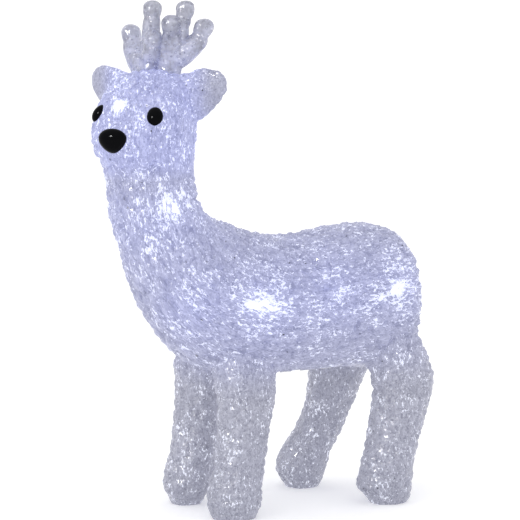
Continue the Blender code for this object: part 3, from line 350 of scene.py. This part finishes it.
def cut_opening(bm):
    """Cut the belly's opening through the skin, with straight edges."""
    low, high = door_opening()
    ceiling = high.z + OPENING_HEADROOM
    for axis in (0, 1):
        for edge in (low[axis], high[axis]):
            place = Vector((0.0, 0.0, 0.0))
            place[axis] = edge
            normal = Vector((0.0, 0.0, 0.0))
            normal[axis] = 1.0
            near = [face for face in bm.faces if face.calc_center_median().z < ceiling
                    and low.x - OPENING_RIM < face.calc_center_median().x < high.x + OPENING_RIM
                    and low.y - OPENING_RIM < face.calc_center_median().y < high.y + OPENING_RIM
                    and face.normal.z < UNDERSIDE]
            parts = set(near)
            for face in near:
                parts.update(face.edges)
                parts.update(face.verts)
            bmesh.ops.bisect_plane(bm, geom=list(parts), plane_co=place, plane_no=normal, dist=1e-7)
    switch = box_middle("switch_knob")
    inside = []
    for face in bm.faces:
        middle = face.calc_center_median()
        in_plan = low.x < middle.x < high.x and low.y < middle.y < high.y
        in_box = in_plan and low.z < middle.z < ceiling
        in_slot = (middle - switch).length < SLOT_REACH
        if in_slot or (in_box and face.normal.z < UNDERSIDE):
            inside.append(face)
    bmesh.ops.delete(bm, geom=inside, context="FACES")


def nearest_nodes(places):
    """The skin node that lies nearest to each place."""
    points = []
    faces = []
    owners = []
    for number, name in enumerate(SKIN_NODES):
        mesh = frame["nodes"][name].data
        start = len(points)
        points.extend(vert.co.copy() for vert in mesh.vertices)
        for face in mesh.polygons:
            faces.append([start + k for k in face.vertices])
            owners.append(number)
    tree = BVHTree.FromPolygons(points, faces)
    return [owners[tree.find_nearest(place)[2]] for place in places]


def make_skin():
    """The skin as one piece for each shell half, leg, hoof and ear, all cut from one surface."""
    mesh = solid_deer()
    edges = mesh_edges(mesh)
    points = mesh_points(mesh)
    sole = points[:, 2] < 0.8 * MM
    points = relaxed(points, edges, FACET_SMOOTHING)
    set_mesh_points(mesh, points)
    points = points + mesh_normals(mesh) * REGROWTH
    points[sole, 2] = 0.0
    set_mesh_points(mesh, points)
    normals = relaxed(mesh_normals(mesh), edges, 3)
    normals /= np.linalg.norm(normals, axis=1)[:, None]
    relief_and_shade, rows = relief(points)
    # the relief and its rows, kept for the painted shade that darkens creases and pales crests
    set_attribute(mesh, "relief_and_shade", relief_and_shade / MM + ROW_SHADE * rows)
    points = points + normals * relief_and_shade[:, None]
    points[sole, 2] = 0.0
    points[:, 2] = np.maximum(points[:, 2], 0.0)
    set_mesh_points(mesh, points)
    bm = bmesh.new()
    bm.from_mesh(mesh)
    cut_opening(bm)
    bm.faces.ensure_lookup_table()
    owners = nearest_nodes([face.calc_center_median() for face in bm.faces])
    tidy_borders(bm, owners)
    pieces = {}
    for number, name in enumerate(SKIN_NODES):
        part = bm.copy()
        part.faces.ensure_lookup_table()
        others = [part.faces[i] for i, owner in enumerate(owners) if owner != number]
        bmesh.ops.delete(part, geom=others, context="FACES")
        piece = add_mesh(name.replace("body_shell", "acrylic_body").replace("leg_", "acrylic_leg_"),
                         mesh_from_bmesh(name, part))
        pieces[name] = piece
    bm.free()
    return pieces


def tidy_borders(bm, owners):
    """Give a face that most of its neighbours' owner surrounds to that owner, so that borders run clean."""
    for _ in range(BORDER_ROUNDS):
        for face in bm.faces:
            others = [other for edge in face.edges for other in edge.link_faces if other != face]
            around = [owners[other.index] for other in others]
            best = max(set(around), key=around.count) if around else owners[face.index]
            if around.count(best) >= 3:
                owners[face.index] = best


# ======================================= painted light from the LEDs ==================================
# how strongly each LED shows through the skin
LED_STRENGTH = {
    "led_neck_left": 1.05, "led_forehead": 0.55, "led_side_left": 1.25, "led_rump_left": 1.0,
    "led_neck_right": 0.8, "led_side_right": 0.9, "led_rump_right": 1.0,
    "led_chest_left": 0.25, "led_back_left": 0.35, "led_back_right": 0.6,
}
# how far from the LED itself its hot spot is put
SPOT_SHIFT = {
    "led_neck_left": Vector((0.0, -2.0, 9.0)) * MM,
    "led_side_left": Vector((0.0, -4.0, 1.0)) * MM,
    "led_rump_left": Vector((8.0, -7.0, 1.0)) * MM,
    "led_forehead": Vector((0.0, -16.0, 3.0)) * MM,
}
GLOW_REACH = 34.0 * MM
HEAD_GLOW = 1.5               # the least glow on the head, which is lit all over by one LED
EAR_GLOW = 0.2                # and the ears' tips this share of it
EAR_DULLING = 0.9             # how much of the painted glints round an LED the ears' tips lose
SPOT_ACROSS = 5.0             # millimetres across the strands that a hot spot spreads
SPOT_ALONG = 6.0              # and along them
SIDE_SPOT_ALONG = 15.0        # further along them on the flanks, where the strands run straight
ZONE_ACROSS = 21.0            # the same for the painted glints round an LED
ZONE_ALONG = 26.0
GLOW_FADE = (78.0 * MM, 108.0 * MM)      # heights between which the glow dies away down the legs
SPOT_FADE = (90.0 * MM, 105.0 * MM)      # and the hot spots
SOLE_FADE = (4.0 * MM, 30.0 * MM)        # and the painted glow dims towards the soles
SOLE_GLOW = 0.86                      # share of the painted glow left at the soles, 1 above them
HEAD_RISE = (215.0 * MM, 250.0 * MM)     # heights between which the neck passes into the head
EAR_SPAN = (30.0, 50.0)                  # millimetres to the side over which the head passes into an ear


def light_fields(points, tree):
    """For each point the broad painted glow of all the LEDs, the painted hot spots where one sits behind the
    skin, and the wide zones round them where the acrylic gets painted glints."""
    glow = np.zeros(len(points))
    painted_hot_spot = np.zeros(len(points))
    painted_glint_zone = np.zeros(len(points))
    strand = strand_coordinates(points)
    for name, strength in LED_STRENGTH.items():
        lamp = box_middle(name)
        distance = np.linalg.norm(points - np.array(lamp), axis=1)
        glow += 1.0 / (1.0 + (distance / GLOW_REACH) ** 2) ** 1.5
        place = tree.find_nearest(lamp + SPOT_SHIFT.get(name, Vector()))[0]
        centre = strand_coordinates(np.array([place]))[0]
        across = np.hypot(strand[:, 0] - centre[0], strand[:, 1] - centre[1])
        along = np.abs(strand[:, 2] - centre[2])
        stretch = SIDE_SPOT_ALONG if name.startswith("led_side") else SPOT_ALONG
        painted_hot_spot += strength * np.exp(-(across / SPOT_ACROSS) ** 2 - (along / stretch) ** 2)
        painted_glint_zone += min(1.0, strength) * np.exp(-(across / ZONE_ACROSS) ** 2 - (along / ZONE_ALONG) ** 2)
    return glow, painted_hot_spot, np.minimum(painted_glint_zone, 1.0)


def set_attribute(mesh, name, values):
    """Store a number, or three, at each point of a mesh."""
    kind = "FLOAT" if values.ndim == 1 else "FLOAT_VECTOR"
    layer = mesh.attributes.new(name, kind, "POINT")
    layer.data.foreach_set("value" if values.ndim == 1 else "vector", values.astype(np.float32).ravel())


# ======================================= materials ====================================================
class Shader:
    """A material's node tree, with short ways to add and join nodes."""

    def __init__(self, name):
        self.material = bpy.data.materials.new(name)
        self.material.use_nodes = True
        self.tree = self.material.node_tree
        self.surface = self.tree.nodes["Principled BSDF"]

    def add(self, kind, **settings):
        """A node, with its own properties set by name."""
        made = self.tree.nodes.new(kind)
        for name, value in settings.items():
            setattr(made, name, value)
        return made

    def feed(self, socket, value):
        """Join an output to an input, or set the input's own value."""
        if isinstance(value, bpy.types.NodeSocket):
            self.tree.links.new(value, socket)
        else:
            socket.default_value = value

    def maths(self, operation, *values, clamp=False):
        """A Math node on one to three values."""
        made = self.add("ShaderNodeMath", operation=operation, use_clamp=clamp)
        for socket, value in zip(made.inputs, values):
            self.feed(socket, value)
        return made.outputs[0]

    def spread(self, value, low, high, new_low=0.0, new_high=1.0):
        """A value moved from one range to another and held inside it."""
        made = self.add("ShaderNodeMapRange", clamp=True)
        for socket, number in zip(made.inputs, (value, low, high, new_low, new_high)):
            self.feed(socket, number)
        return made.outputs[0]

    def attribute(self, name):
        """A field stored on the mesh: its number and its vector."""
        made = self.add("ShaderNodeAttribute", attribute_name=name)
        return made.outputs["Fac"], made.outputs["Vector"]

    def object_place(self, scale):
        """Object coordinates in the given number of units per metre on each axis."""
        place = self.add("ShaderNodeTexCoord").outputs["Object"]
        return self.scaled(place, scale)

    def scaled(self, vector, scale):
        """A vector times a scale on each axis."""
        made = self.add("ShaderNodeVectorMath", operation="MULTIPLY")
        self.feed(made.inputs[0], vector)
        made.inputs[1].default_value = scale
        return made.outputs[0]

    def noise(self, vector, scale, detail=2.0, roughness=0.5):
        """Soft noise from 0 to 1."""
        made = self.add("ShaderNodeTexNoise")
        self.feed(made.inputs["Vector"], vector)
        made.inputs["Scale"].default_value = scale
        made.inputs["Detail"].default_value = detail
        made.inputs["Roughness"].default_value = roughness
        return made.outputs["Fac"]

    def cells(self, vector, scale):
        """Cells: the distance from each one's middle, and its own random number."""
        made = self.add("ShaderNodeTexVoronoi")
        self.feed(made.inputs["Vector"], vector)
        made.inputs["Scale"].default_value = scale
        split = self.add("ShaderNodeSeparateColor")
        self.feed(split.inputs[0], made.outputs["Color"])
        return made.outputs["Distance"], split.outputs[0]

    def blend(self, share, first, second):
        """A colour between two."""
        made = self.add("ShaderNodeMix", data_type="RGBA")
        self.feed(made.inputs[0], share)
        self.feed(made.inputs[6], first)
        self.feed(made.inputs[7], second)
        return made.outputs[2]

    def colour_sum(self, *terms):
        """Colours added up, each times its own strength."""
        total = None
        for colour, strength in terms:
            part = self.add("ShaderNodeVectorMath", operation="SCALE")
            part.inputs[0].default_value = colour
            self.feed(part.inputs["Scale"], strength)
            if total is None:
                total = part.outputs[0]
            else:
                both = self.add("ShaderNodeVectorMath", operation="ADD")
                self.feed(both.inputs[0], total)
                self.feed(both.inputs[1], part.outputs[0])
                total = both.outputs[0]
        return total

    def bump(self, height, strength, distance):
        """A bump, which is given to the surface."""
        made = self.add("ShaderNodeBump")
        made.inputs["Strength"].default_value = strength
        made.inputs["Distance"].default_value = distance
        self.feed(made.inputs["Height"], height)
        self.feed(self.surface.inputs["Normal"], made.outputs[0])
        return made.outputs[0]

    def set(self, **values):
        """Set or join the surface's sockets; an underscore stands for a space."""
        for name, value in values.items():
            self.feed(self.surface.inputs[name.replace("_", " ")], value)


def strand_acrylic():
    """Crinkled clear acrylic: pale glassy grains along the strands, with painted light (a lavender glow, hot
    spots and glints) and painted shade (darker creases and dark specks).
    """
    shader = Shader("strand_acrylic")
    glow, _ = shader.attribute("glow")
    painted_hot_spot, _ = shader.attribute("painted_hot_spot")
    painted_glint_zone, _ = shader.attribute("painted_glint_zone")
    relief_and_shade, _ = shader.attribute("relief_and_shade")
    sole_glow, _ = shader.attribute("sole_glow")
    _, grain = shader.attribute("grain")
    drift = shader.noise(grain, 0.06, 3.0, 0.6)
    cluster = shader.noise(grain, 0.10, 2.0, 0.6)
    streak = shader.noise(shader.scaled(grain, (1.0, 1.0, 0.6)), 0.8, 4.0, 0.7)
    ragged = shader.noise(shader.scaled(grain, (1.0, 1.0, 0.8)), 0.52, 5.0, 0.75)
    crease, tone = shader.cells(grain, 0.62)
    fine_crease, fine_tone = shader.cells(grain, 1.3)
    mottle = shader.maths("MULTIPLY_ADD", tone, 0.16, shader.maths("MULTIPLY", fine_tone, 0.28))
    mottle = shader.maths("MULTIPLY_ADD", streak, 0.8, mottle)
    mottle = shader.maths("MULTIPLY_ADD", drift, 0.25, mottle)
    # painted shade: creases and row troughs darker, crests paler
    mottle = shader.maths("MULTIPLY_ADD", relief_and_shade, 0.05, mottle)
    mottle = shader.spread(mottle, 0.48, 1.0)
    base = shader.blend(mottle, (0.085, 0.088, 0.125, 1.0), (0.27, 0.276, 0.325, 1.0))
    # painted shade: black specks and dark flecks, standing in for the dark that the crinkled clear acrylic
    # refracts
    painted_dark_speck = shader.maths("MULTIPLY", shader.spread(tone, 0.012, 0.007), shader.spread(crease, 0.35, 0.2))
    base = shader.blend(painted_dark_speck, base, (0.01, 0.01, 0.02, 1.0))
    dark = shader.spread(fine_tone, 0.10, 0.06)
    dark = shader.maths("MULTIPLY", dark, shader.spread(fine_crease, 0.5, 0.35))
    base = shader.blend(shader.maths("MULTIPLY", dark, 0.6), base, (0.04, 0.042, 0.07, 1.0))
    # painted glints: small white sparks given off by the skin, more of them round the LEDs and their hot
    # spots
    painted_glint_facet = shader.maths("MULTIPLY_ADD", shader.spread(cluster, 0.40, 0.64), 0.09, ragged)
    painted_glint_facet = shader.maths("MULTIPLY_ADD", painted_glint_zone, 0.085, painted_glint_facet)
    painted_glint_facet = shader.maths("MULTIPLY_ADD", shader.spread(painted_hot_spot, 0.0, 0.5), 0.20, painted_glint_facet)
    painted_glint_facet = shader.maths("MULTIPLY_ADD", fine_tone, 0.05, painted_glint_facet)
    painted_glint_facet = shader.spread(painted_glint_facet, 0.655, 0.675)
    # painted hot spots: white light where an LED sits behind the skin
    hot = shader.maths("MULTIPLY", painted_hot_spot, 0.35)
    hot = shader.maths("MULTIPLY_ADD", shader.spread(painted_hot_spot, 0.30, 0.65), 0.7, hot)
    # painted light: an even glow of the skin's own, standing in for light scattered through the clear
    # acrylic, so that its shading stays flat
    clear = shader.maths("SUBTRACT", 1.0, painted_dark_speck)
    even = shader.maths("MULTIPLY", clear, shader.spread(mottle, 0.0, 1.0, 0.84, 1.18))
    even = shader.maths("MULTIPLY", even, sole_glow)
    painted_led_glow = shader.maths("MULTIPLY", glow, even)
    # all painted light, given off by the skin: the even glow, the LEDs' lavender glow, the hot spots and the
    # glints
    light = shader.colour_sum(
        ((0.180, 0.182, 0.230), even),
        ((0.032, 0.044, 0.172), painted_led_glow),
        ((0.95, 1.02, 1.25), hot),
        ((0.50, 0.52, 0.57), painted_glint_facet),
    )
    height = shader.maths("MULTIPLY_ADD", fine_crease, -0.5, shader.maths("MULTIPLY", crease, -0.7))
    shader.bump(height, 0.7, 0.8 * MM)
    shader.set(Base_Color=base, Roughness=shader.spread(tone, 0.0, 1.0, 0.16, 0.5), Coat_Weight=0.3,
               Coat_Roughness=0.08, IOR=1.45, Specular_IOR_Level=0.4, Emission_Color=light,
               Emission_Strength=1.0)
    return shader.material


def smooth_acrylic():
    """Smooth clear acrylic rods and blades: glassy, a little cloudy, with trapped bubbles, painted glints
    and a painted glow from the LEDs.
    """
    shader = Shader("smooth_acrylic")
    place = shader.object_place((1000.0, 1000.0, 1000.0))
    cloud = shader.noise(place, 0.16, 4.0, 0.65)
    bubble, tone = shader.cells(place, 0.38)
    crease, painted_glint_facet = shader.cells(place, 0.8)
    ring = shader.maths("MULTIPLY", shader.spread(bubble, 0.42, 0.34), shader.spread(bubble, 0.22, 0.30))
    ring = shader.maths("MULTIPLY", ring, shader.spread(tone, 0.55, 0.60))
    # painted glints: near-white sparks on some facets
    painted_glint = shader.maths("MULTIPLY", shader.spread(painted_glint_facet, 0.93, 0.95), shader.spread(crease, 0.5, 0.4))
    base = shader.blend(shader.spread(cloud, 0.35, 0.65), (0.36, 0.367, 0.44, 1.0), (0.62, 0.628, 0.69, 1.0))
    base = shader.blend(ring, base, (0.20, 0.205, 0.25, 1.0))
    base = shader.blend(painted_glint, base, (0.95, 0.95, 1.0, 1.0))
    # painted light: a lavender glow of the antler's own, from the LEDs in the head
    glow, _ = shader.attribute("glow")
    ripple = shader.noise(place, 0.3, 3.0)
    shader.bump(shader.maths("MULTIPLY_ADD", bubble, 0.6, ripple), 0.8, 1.1 * MM)
    painted_led_glow = shader.maths("MULTIPLY", glow, shader.spread(cloud, 0.3, 0.7))
    light = shader.colour_sum(((0.02, 0.03, 0.15), painted_led_glow))
    shader.set(Base_Color=base, Roughness=shader.spread(cloud, 0.3, 0.7, 0.06, 0.2), IOR=1.49,
               Transmission_Weight=0.6, Coat_Weight=0.3, Coat_Roughness=0.04, Emission_Color=light,
               Emission_Strength=1.0)
    return shader.material


def black_gloss():
    """Polished black plastic of the stock eyes and nose."""
    shader = Shader("black_gloss")
    place = shader.object_place((1000.0, 1000.0, 1000.0))
    dust = shader.noise(place, 1.4, 3.0, 0.6)
    base = shader.blend(dust, (0.0015, 0.0015, 0.002, 1.0), (0.004, 0.004, 0.005, 1.0))
    shader.bump(shader.noise(place, 0.5, 1.0), 0.04, 0.3 * MM)
    shader.set(Base_Color=base, Roughness=shader.spread(dust, 0.3, 0.7, 0.06, 0.12), Specular_IOR_Level=0.03)
    return shader.material


def plain_finish(name, colour, roughness, metallic=0.0, grain=0.9, relief_height=0.12, sheen=0.0):
    """A moulded, drawn or printed finish with faint mottling and a fine texture."""
    shader = Shader(name)
    place = shader.object_place((1000.0, 1000.0, 1000.0))
    mottle = shader.noise(place, grain * 0.3, 3.0, 0.6)
    texture = shader.noise(place, grain * 3.0, 2.0)
    dark = tuple(part * 0.82 for part in colour) + (1.0,)
    light = tuple(min(1.0, part * 1.15) for part in colour) + (1.0,)
    base = shader.blend(shader.spread(mottle, 0.3, 0.7), dark, light)
    shader.bump(texture, 0.4, relief_height * MM)
    rough = shader.spread(mottle, 0.3, 0.7, roughness * 0.85, roughness * 1.15)
    shader.set(Base_Color=base, Roughness=rough, Metallic=metallic, Sheen_Weight=sheen)
    return shader.material


def led_lens():
    """The clear epoxy bulb of an LED, glowing all over."""
    shader = Shader("led_lens")
    place = shader.object_place((1000.0, 1000.0, 1000.0))
    cloud = shader.noise(place, 0.8, 2.0)
    tint = shader.blend(cloud, (0.75, 0.82, 1.0, 1.0), (0.95, 0.97, 1.0, 1.0))
    shader.bump(cloud, 0.1, 0.2 * MM)
    shader.set(Base_Color=tint, Roughness=shader.spread(cloud, 0.3, 0.7, 0.08, 0.16), Coat_Weight=0.5,
               Emission_Color=tint, Emission_Strength=2.0)
    return shader.material


def finish_materials():
    """One material for each of the record's slots."""
    return {
        "strand_acrylic": strand_acrylic(),
        "smooth_acrylic": smooth_acrylic(),
        "black_gloss": black_gloss(),
        "led_lens": led_lens(),
        "grey_plastic": plain_finish("grey_plastic", (0.62, 0.63, 0.65), 0.45),
        "black_plastic": plain_finish("black_plastic", (0.03, 0.03, 0.032), 0.4),
        "rubber_grey": plain_finish("rubber_grey", (0.2, 0.2, 0.21), 0.8, sheen=0.2),
        "steel": plain_finish("steel", (0.62, 0.62, 0.63), 0.28, metallic=1.0, relief_height=0.03),
        "cell_jacket": plain_finish("cell_jacket", (0.04, 0.14, 0.30), 0.3, relief_height=0.03),
        "board_green": plain_finish("board_green", (0.02, 0.17, 0.07), 0.4),
        "wire_clear": plain_finish("wire_clear", (0.62, 0.62, 0.60), 0.25),
        "wire_red": plain_finish("wire_red", (0.45, 0.02, 0.02), 0.35),
        "wire_black": plain_finish("wire_black", (0.02, 0.02, 0.02), 0.35),
    }


# ======================================= eyes, nose and antlers =======================================
EYE_SHAPE = (5.5 * MM, 6.9 * MM, 4.6 * MM)        # half width, half height, depth
NOSE_SHAPE = (9.8 * MM, 8.4 * MM, 6.5 * MM)
NOSE_TAPER = 0.22                                  # how much narrower its lower half is
ANTLER_VOXEL = 0.8 * MM
ANTLER_SMOOTHING = 16
ANTLER_GROWTH = 0.7                                # millimetres added all round
TIP_REACH = 9.0 * MM


def dome(name, node, shape, taper):
    """A polished dome whose front stands where a CAD button's does; a taper narrows its lower side."""
    half_width, half_height, depth = shape
    outward = node_facing(node)
    centre = box_middle(f"{node}_washer") + outward * (front_of(node) - depth)
    side = Vector((0.0, 0.0, 1.0)).cross(outward).normalized()
    up = outward.cross(side).normalized()
    bm = bmesh.new()
    bmesh.ops.create_uvsphere(bm, u_segments=64, v_segments=40, radius=1.0)
    for vert in bm.verts:
        x, y, z = vert.co
        width = half_width * (1.0 + taper * y - 0.35 * taper * y * y)
        vert.co = centre + side * (x * width) + up * (y * half_height) + outward * (z * depth)
    piece = add_mesh(name, mesh_from_bmesh(name, bm))
    piece.data.shade_smooth()
    return piece


def front_of(name):
    """How far the front of a CAD button stands from its washer."""
    washer = box_middle(f"{name}_washer")
    facing = node_facing(name)
    return max((vert.co - washer).dot(facing) for vert in frame["nodes"][name].data.vertices)


def node_facing(name):
    """Which way a button faces: from its washer to the middle of its box."""
    return (box_middle(name) - box_middle(f"{name}_washer")).normalized()


def antler_tips(points, edges):
    """The topmost point of each tine: every point that no other within reach stands above."""
    peaks = np.ones(len(points), bool)
    rising = points[edges[:, 0], 2] < points[edges[:, 1], 2]
    peaks[np.where(rising, edges[:, 0], edges[:, 1])] = False
    tips = []
    for candidate in points[peaks]:
        near = np.linalg.norm(points - candidate, axis=1) < TIP_REACH
        if points[near, 2].max() <= candidate[2]:
            tips.append(candidate)
    return tips


def make_antler(name):
    """An antler as even rounded rods, with a bulb and a groove at the end of each tine."""
    mesh = remeshed(frame["nodes"][name].data.copy(), ANTLER_VOXEL)
    edges = mesh_edges(mesh)
    points = relaxed(mesh_points(mesh), edges, ANTLER_SMOOTHING)
    set_mesh_points(mesh, points)
    normals = mesh_normals(mesh)
    swell = ANTLER_GROWTH + 0.3 * soft_noise(points / (6.0 * MM), 61)
    swell = swell + 0.15 * soft_noise(points / (2.2 * MM), 62)
    for tip in antler_tips(points, edges):
        distance = np.linalg.norm(points - tip, axis=1) / MM
        bulb = 0.8 * np.exp(-((distance - 6.0) / 3.5) ** 2)
        groove = 0.7 * np.exp(-((distance - 12.5) / 1.8) ** 2)
        swell += bulb - groove
    low = points[:, 2].min()
    swell += 2.2 * smoothstep(low + 34.0 * MM, low + 8.0 * MM, points[:, 2])
    points = points + normals * (swell * MM)[:, None]
    points[:, 2] -= smoothstep(low + 6.0 * MM, low, points[:, 2]) * 4.0 * MM
    set_mesh_points(mesh, points)
    # painted glow, strongest at the antler's root by the head
    set_attribute(mesh, "glow", smoothstep(low + 50.0 * MM, low, points[:, 2]) * 0.8 + 0.2)
    piece = add_mesh(f"acrylic_{name}", mesh)
    piece.data.shade_smooth()
    return piece


# ======================================= put together =================================================
materials = finish_materials()


def settle(piece, slot, *nodes):
    """Give a piece the material of its slot and its body, and hide the CAD nodes that it stands for."""
    piece.data.materials.clear()
    piece.data.materials.append(materials[slot])
    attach(piece, BODY)
    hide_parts(*nodes)


skin = make_skin()
body_bm = bmesh.new()
for shell in SKIN_NODES[:2]:
    body_bm.from_mesh(skin[shell].data)
body_tree = BVHTree.FromBMesh(body_bm)
body_bm.free()
ear_middle = np.array(box_middle("ear_left") + box_middle("ear_right")) / 2
ear_line = np.array((box_middle("ear_left") - box_middle("ear_right")).normalized())
for node_name, piece in skin.items():
    points = mesh_points(piece.data)
    # painted light: how much of the LEDs' glow, hot spots and glints each point of the skin gives off
    glow, painted_hot_spot, painted_glint_zone = light_fields(points, body_tree)
    leg_or_hoof = node_name.startswith(("leg", "hoof"))
    if leg_or_hoof or node_name.startswith("ear"):
        grain = points / MM / (1.0, 1.0, 1.3)
    else:
        grain = strand_coordinates(points) / (1.0, 1.0, 1.9)
    fade = smoothstep(*GLOW_FADE, points[:, 2])
    head_share = smoothstep(*HEAD_RISE, points[:, 2])
    aside = np.abs((points - ear_middle) @ ear_line) / MM
    ear_share = head_share * smoothstep(*EAR_SPAN, aside)
    glow = np.maximum(glow, HEAD_GLOW * head_share) * (1 - (1 - EAR_GLOW) * ear_share)
    painted_glint_zone -= EAR_DULLING * ear_share
    set_attribute(piece.data, "grain", grain)
    set_attribute(piece.data, "glow", glow * fade)
    set_attribute(piece.data, "painted_hot_spot", painted_hot_spot * smoothstep(*SPOT_FADE, points[:, 2]))
    set_attribute(piece.data, "painted_glint_zone", painted_glint_zone)
    # painted glow dimmed towards the soles
    sole_glow = SOLE_GLOW + (1 - SOLE_GLOW) * smoothstep(*SOLE_FADE, points[:, 2])
    set_attribute(piece.data, "sole_glow", sole_glow)
    piece.data.shade_smooth()
    wall = piece.modifiers.new("wall", "SOLIDIFY")
    wall.thickness = SHELL_WALL
    wall.offset = -1.0
    settle(piece, "strand_acrylic", node_name)

for side in ("left", "right"):
    settle(make_antler(f"antler_{side}"), "smooth_acrylic", f"antler_{side}")
    eye = f"eye_{side}"
    settle(dome(f"polished_{eye}", eye, EYE_SHAPE, 0.0), "black_gloss", eye)
settle(dome("polished_nose", "nose", NOSE_SHAPE, NOSE_TAPER), "black_gloss", "nose")

SLOTS = {part["node"]: part["material_slot"] for part in frame["record"]["subparts"]}
for name, node in frame["nodes"].items():
    for material_slot in node.material_slots:
        material_slot.material = materials[SLOTS[name]]

# ======================================= floor, light and camera ======================================
VIEW_AZIMUTH = math.radians(61.0)
VIEW_ELEVATION = math.radians(7.0)
VIEW_DISTANCE = 1.7
VIEW_CENTRE = Vector((0.000225, 0.0213, 0.182))   # the deer's middle
VIEW_OFFSET = (-0.0140, -0.0098)                  # right and up: the deer stands off the view's middle
VIEW_LENS = 168.1


def make_floor():
    """A wide, pale, almost even floor."""
    bm = bmesh.new()
    bmesh.ops.create_grid(bm, x_segments=8, y_segments=8, size=30.0)
    floor = add_mesh("floor", mesh_from_bmesh("floor", bm))
    shader = Shader("floor_paint")
    mottle = shader.noise(shader.object_place((1.0, 1.0, 1.0)), 3.0, 2.0)
    paint = shader.blend(mottle, (0.965, 0.965, 0.97, 1.0), (0.98, 0.98, 0.985, 1.0))
    shader.set(Base_Color=paint, Roughness=0.9, Specular_IOR_Level=0.1, Emission_Color=paint,
               Emission_Strength=0.18)
    floor.data.materials.append(shader.material)


def add_sun(name, azimuth, elevation, strength, width, glints_only=False):
    """A distant soft light that comes from a direction round the deer."""
    light = bpy.data.lights.new(name, "SUN")
    light.energy = strength
    light.angle = math.radians(width)
    lamp = bpy.data.objects.new(name, light)
    bpy.context.collection.objects.link(lamp)
    around = math.radians(azimuth)
    above = math.radians(elevation)
    back = Vector((math.sin(around) * math.cos(above), -math.cos(around) * math.cos(above),
                   math.sin(above)))
    lamp.visible_diffuse = not glints_only
    lamp.rotation_mode = "QUATERNION"
    lamp.rotation_quaternion = back.to_track_quat("Z", "Y")


def make_light():
    """A white room, a large soft light overhead and a small one to the side for the glints."""
    world = bpy.data.worlds.new("studio")
    bpy.context.scene.world = world
    world.use_nodes = True
    tree = world.node_tree
    background = tree.nodes["Background"]
    background.inputs["Color"].default_value = (1.0, 1.0, 1.0, 1.0)
    background.inputs["Strength"].default_value = 1.0
    add_sun("overhead_light", 20.0, 62.0, 0.2, 60.0)
    add_sun("glint_light", 20.0, 28.0, 4.0, 11.0, glints_only=True)


def make_camera():
    """The camera at the view's angle."""
    back = Vector((math.sin(VIEW_AZIMUTH) * math.cos(VIEW_ELEVATION),
                   -math.cos(VIEW_AZIMUTH) * math.cos(VIEW_ELEVATION), math.sin(VIEW_ELEVATION)))
    right = Vector((math.cos(VIEW_AZIMUTH), math.sin(VIEW_AZIMUTH), 0.0))
    up = back.cross(right)
    aim = VIEW_CENTRE + right * VIEW_OFFSET[0] + up * VIEW_OFFSET[1]
    data = bpy.data.cameras.new("camera")
    data.lens = VIEW_LENS
    data.sensor_width = 36.0
    camera = bpy.data.objects.new("camera", data)
    bpy.context.collection.objects.link(camera)
    camera.location = aim + back * VIEW_DISTANCE
    camera.rotation_mode = "QUATERNION"
    camera.rotation_quaternion = back.to_track_quat("Z", "Y")
    bpy.context.scene.camera = camera


make_floor()
make_light()
make_camera()
bpy.context.scene.view_settings.view_transform = "Standard"
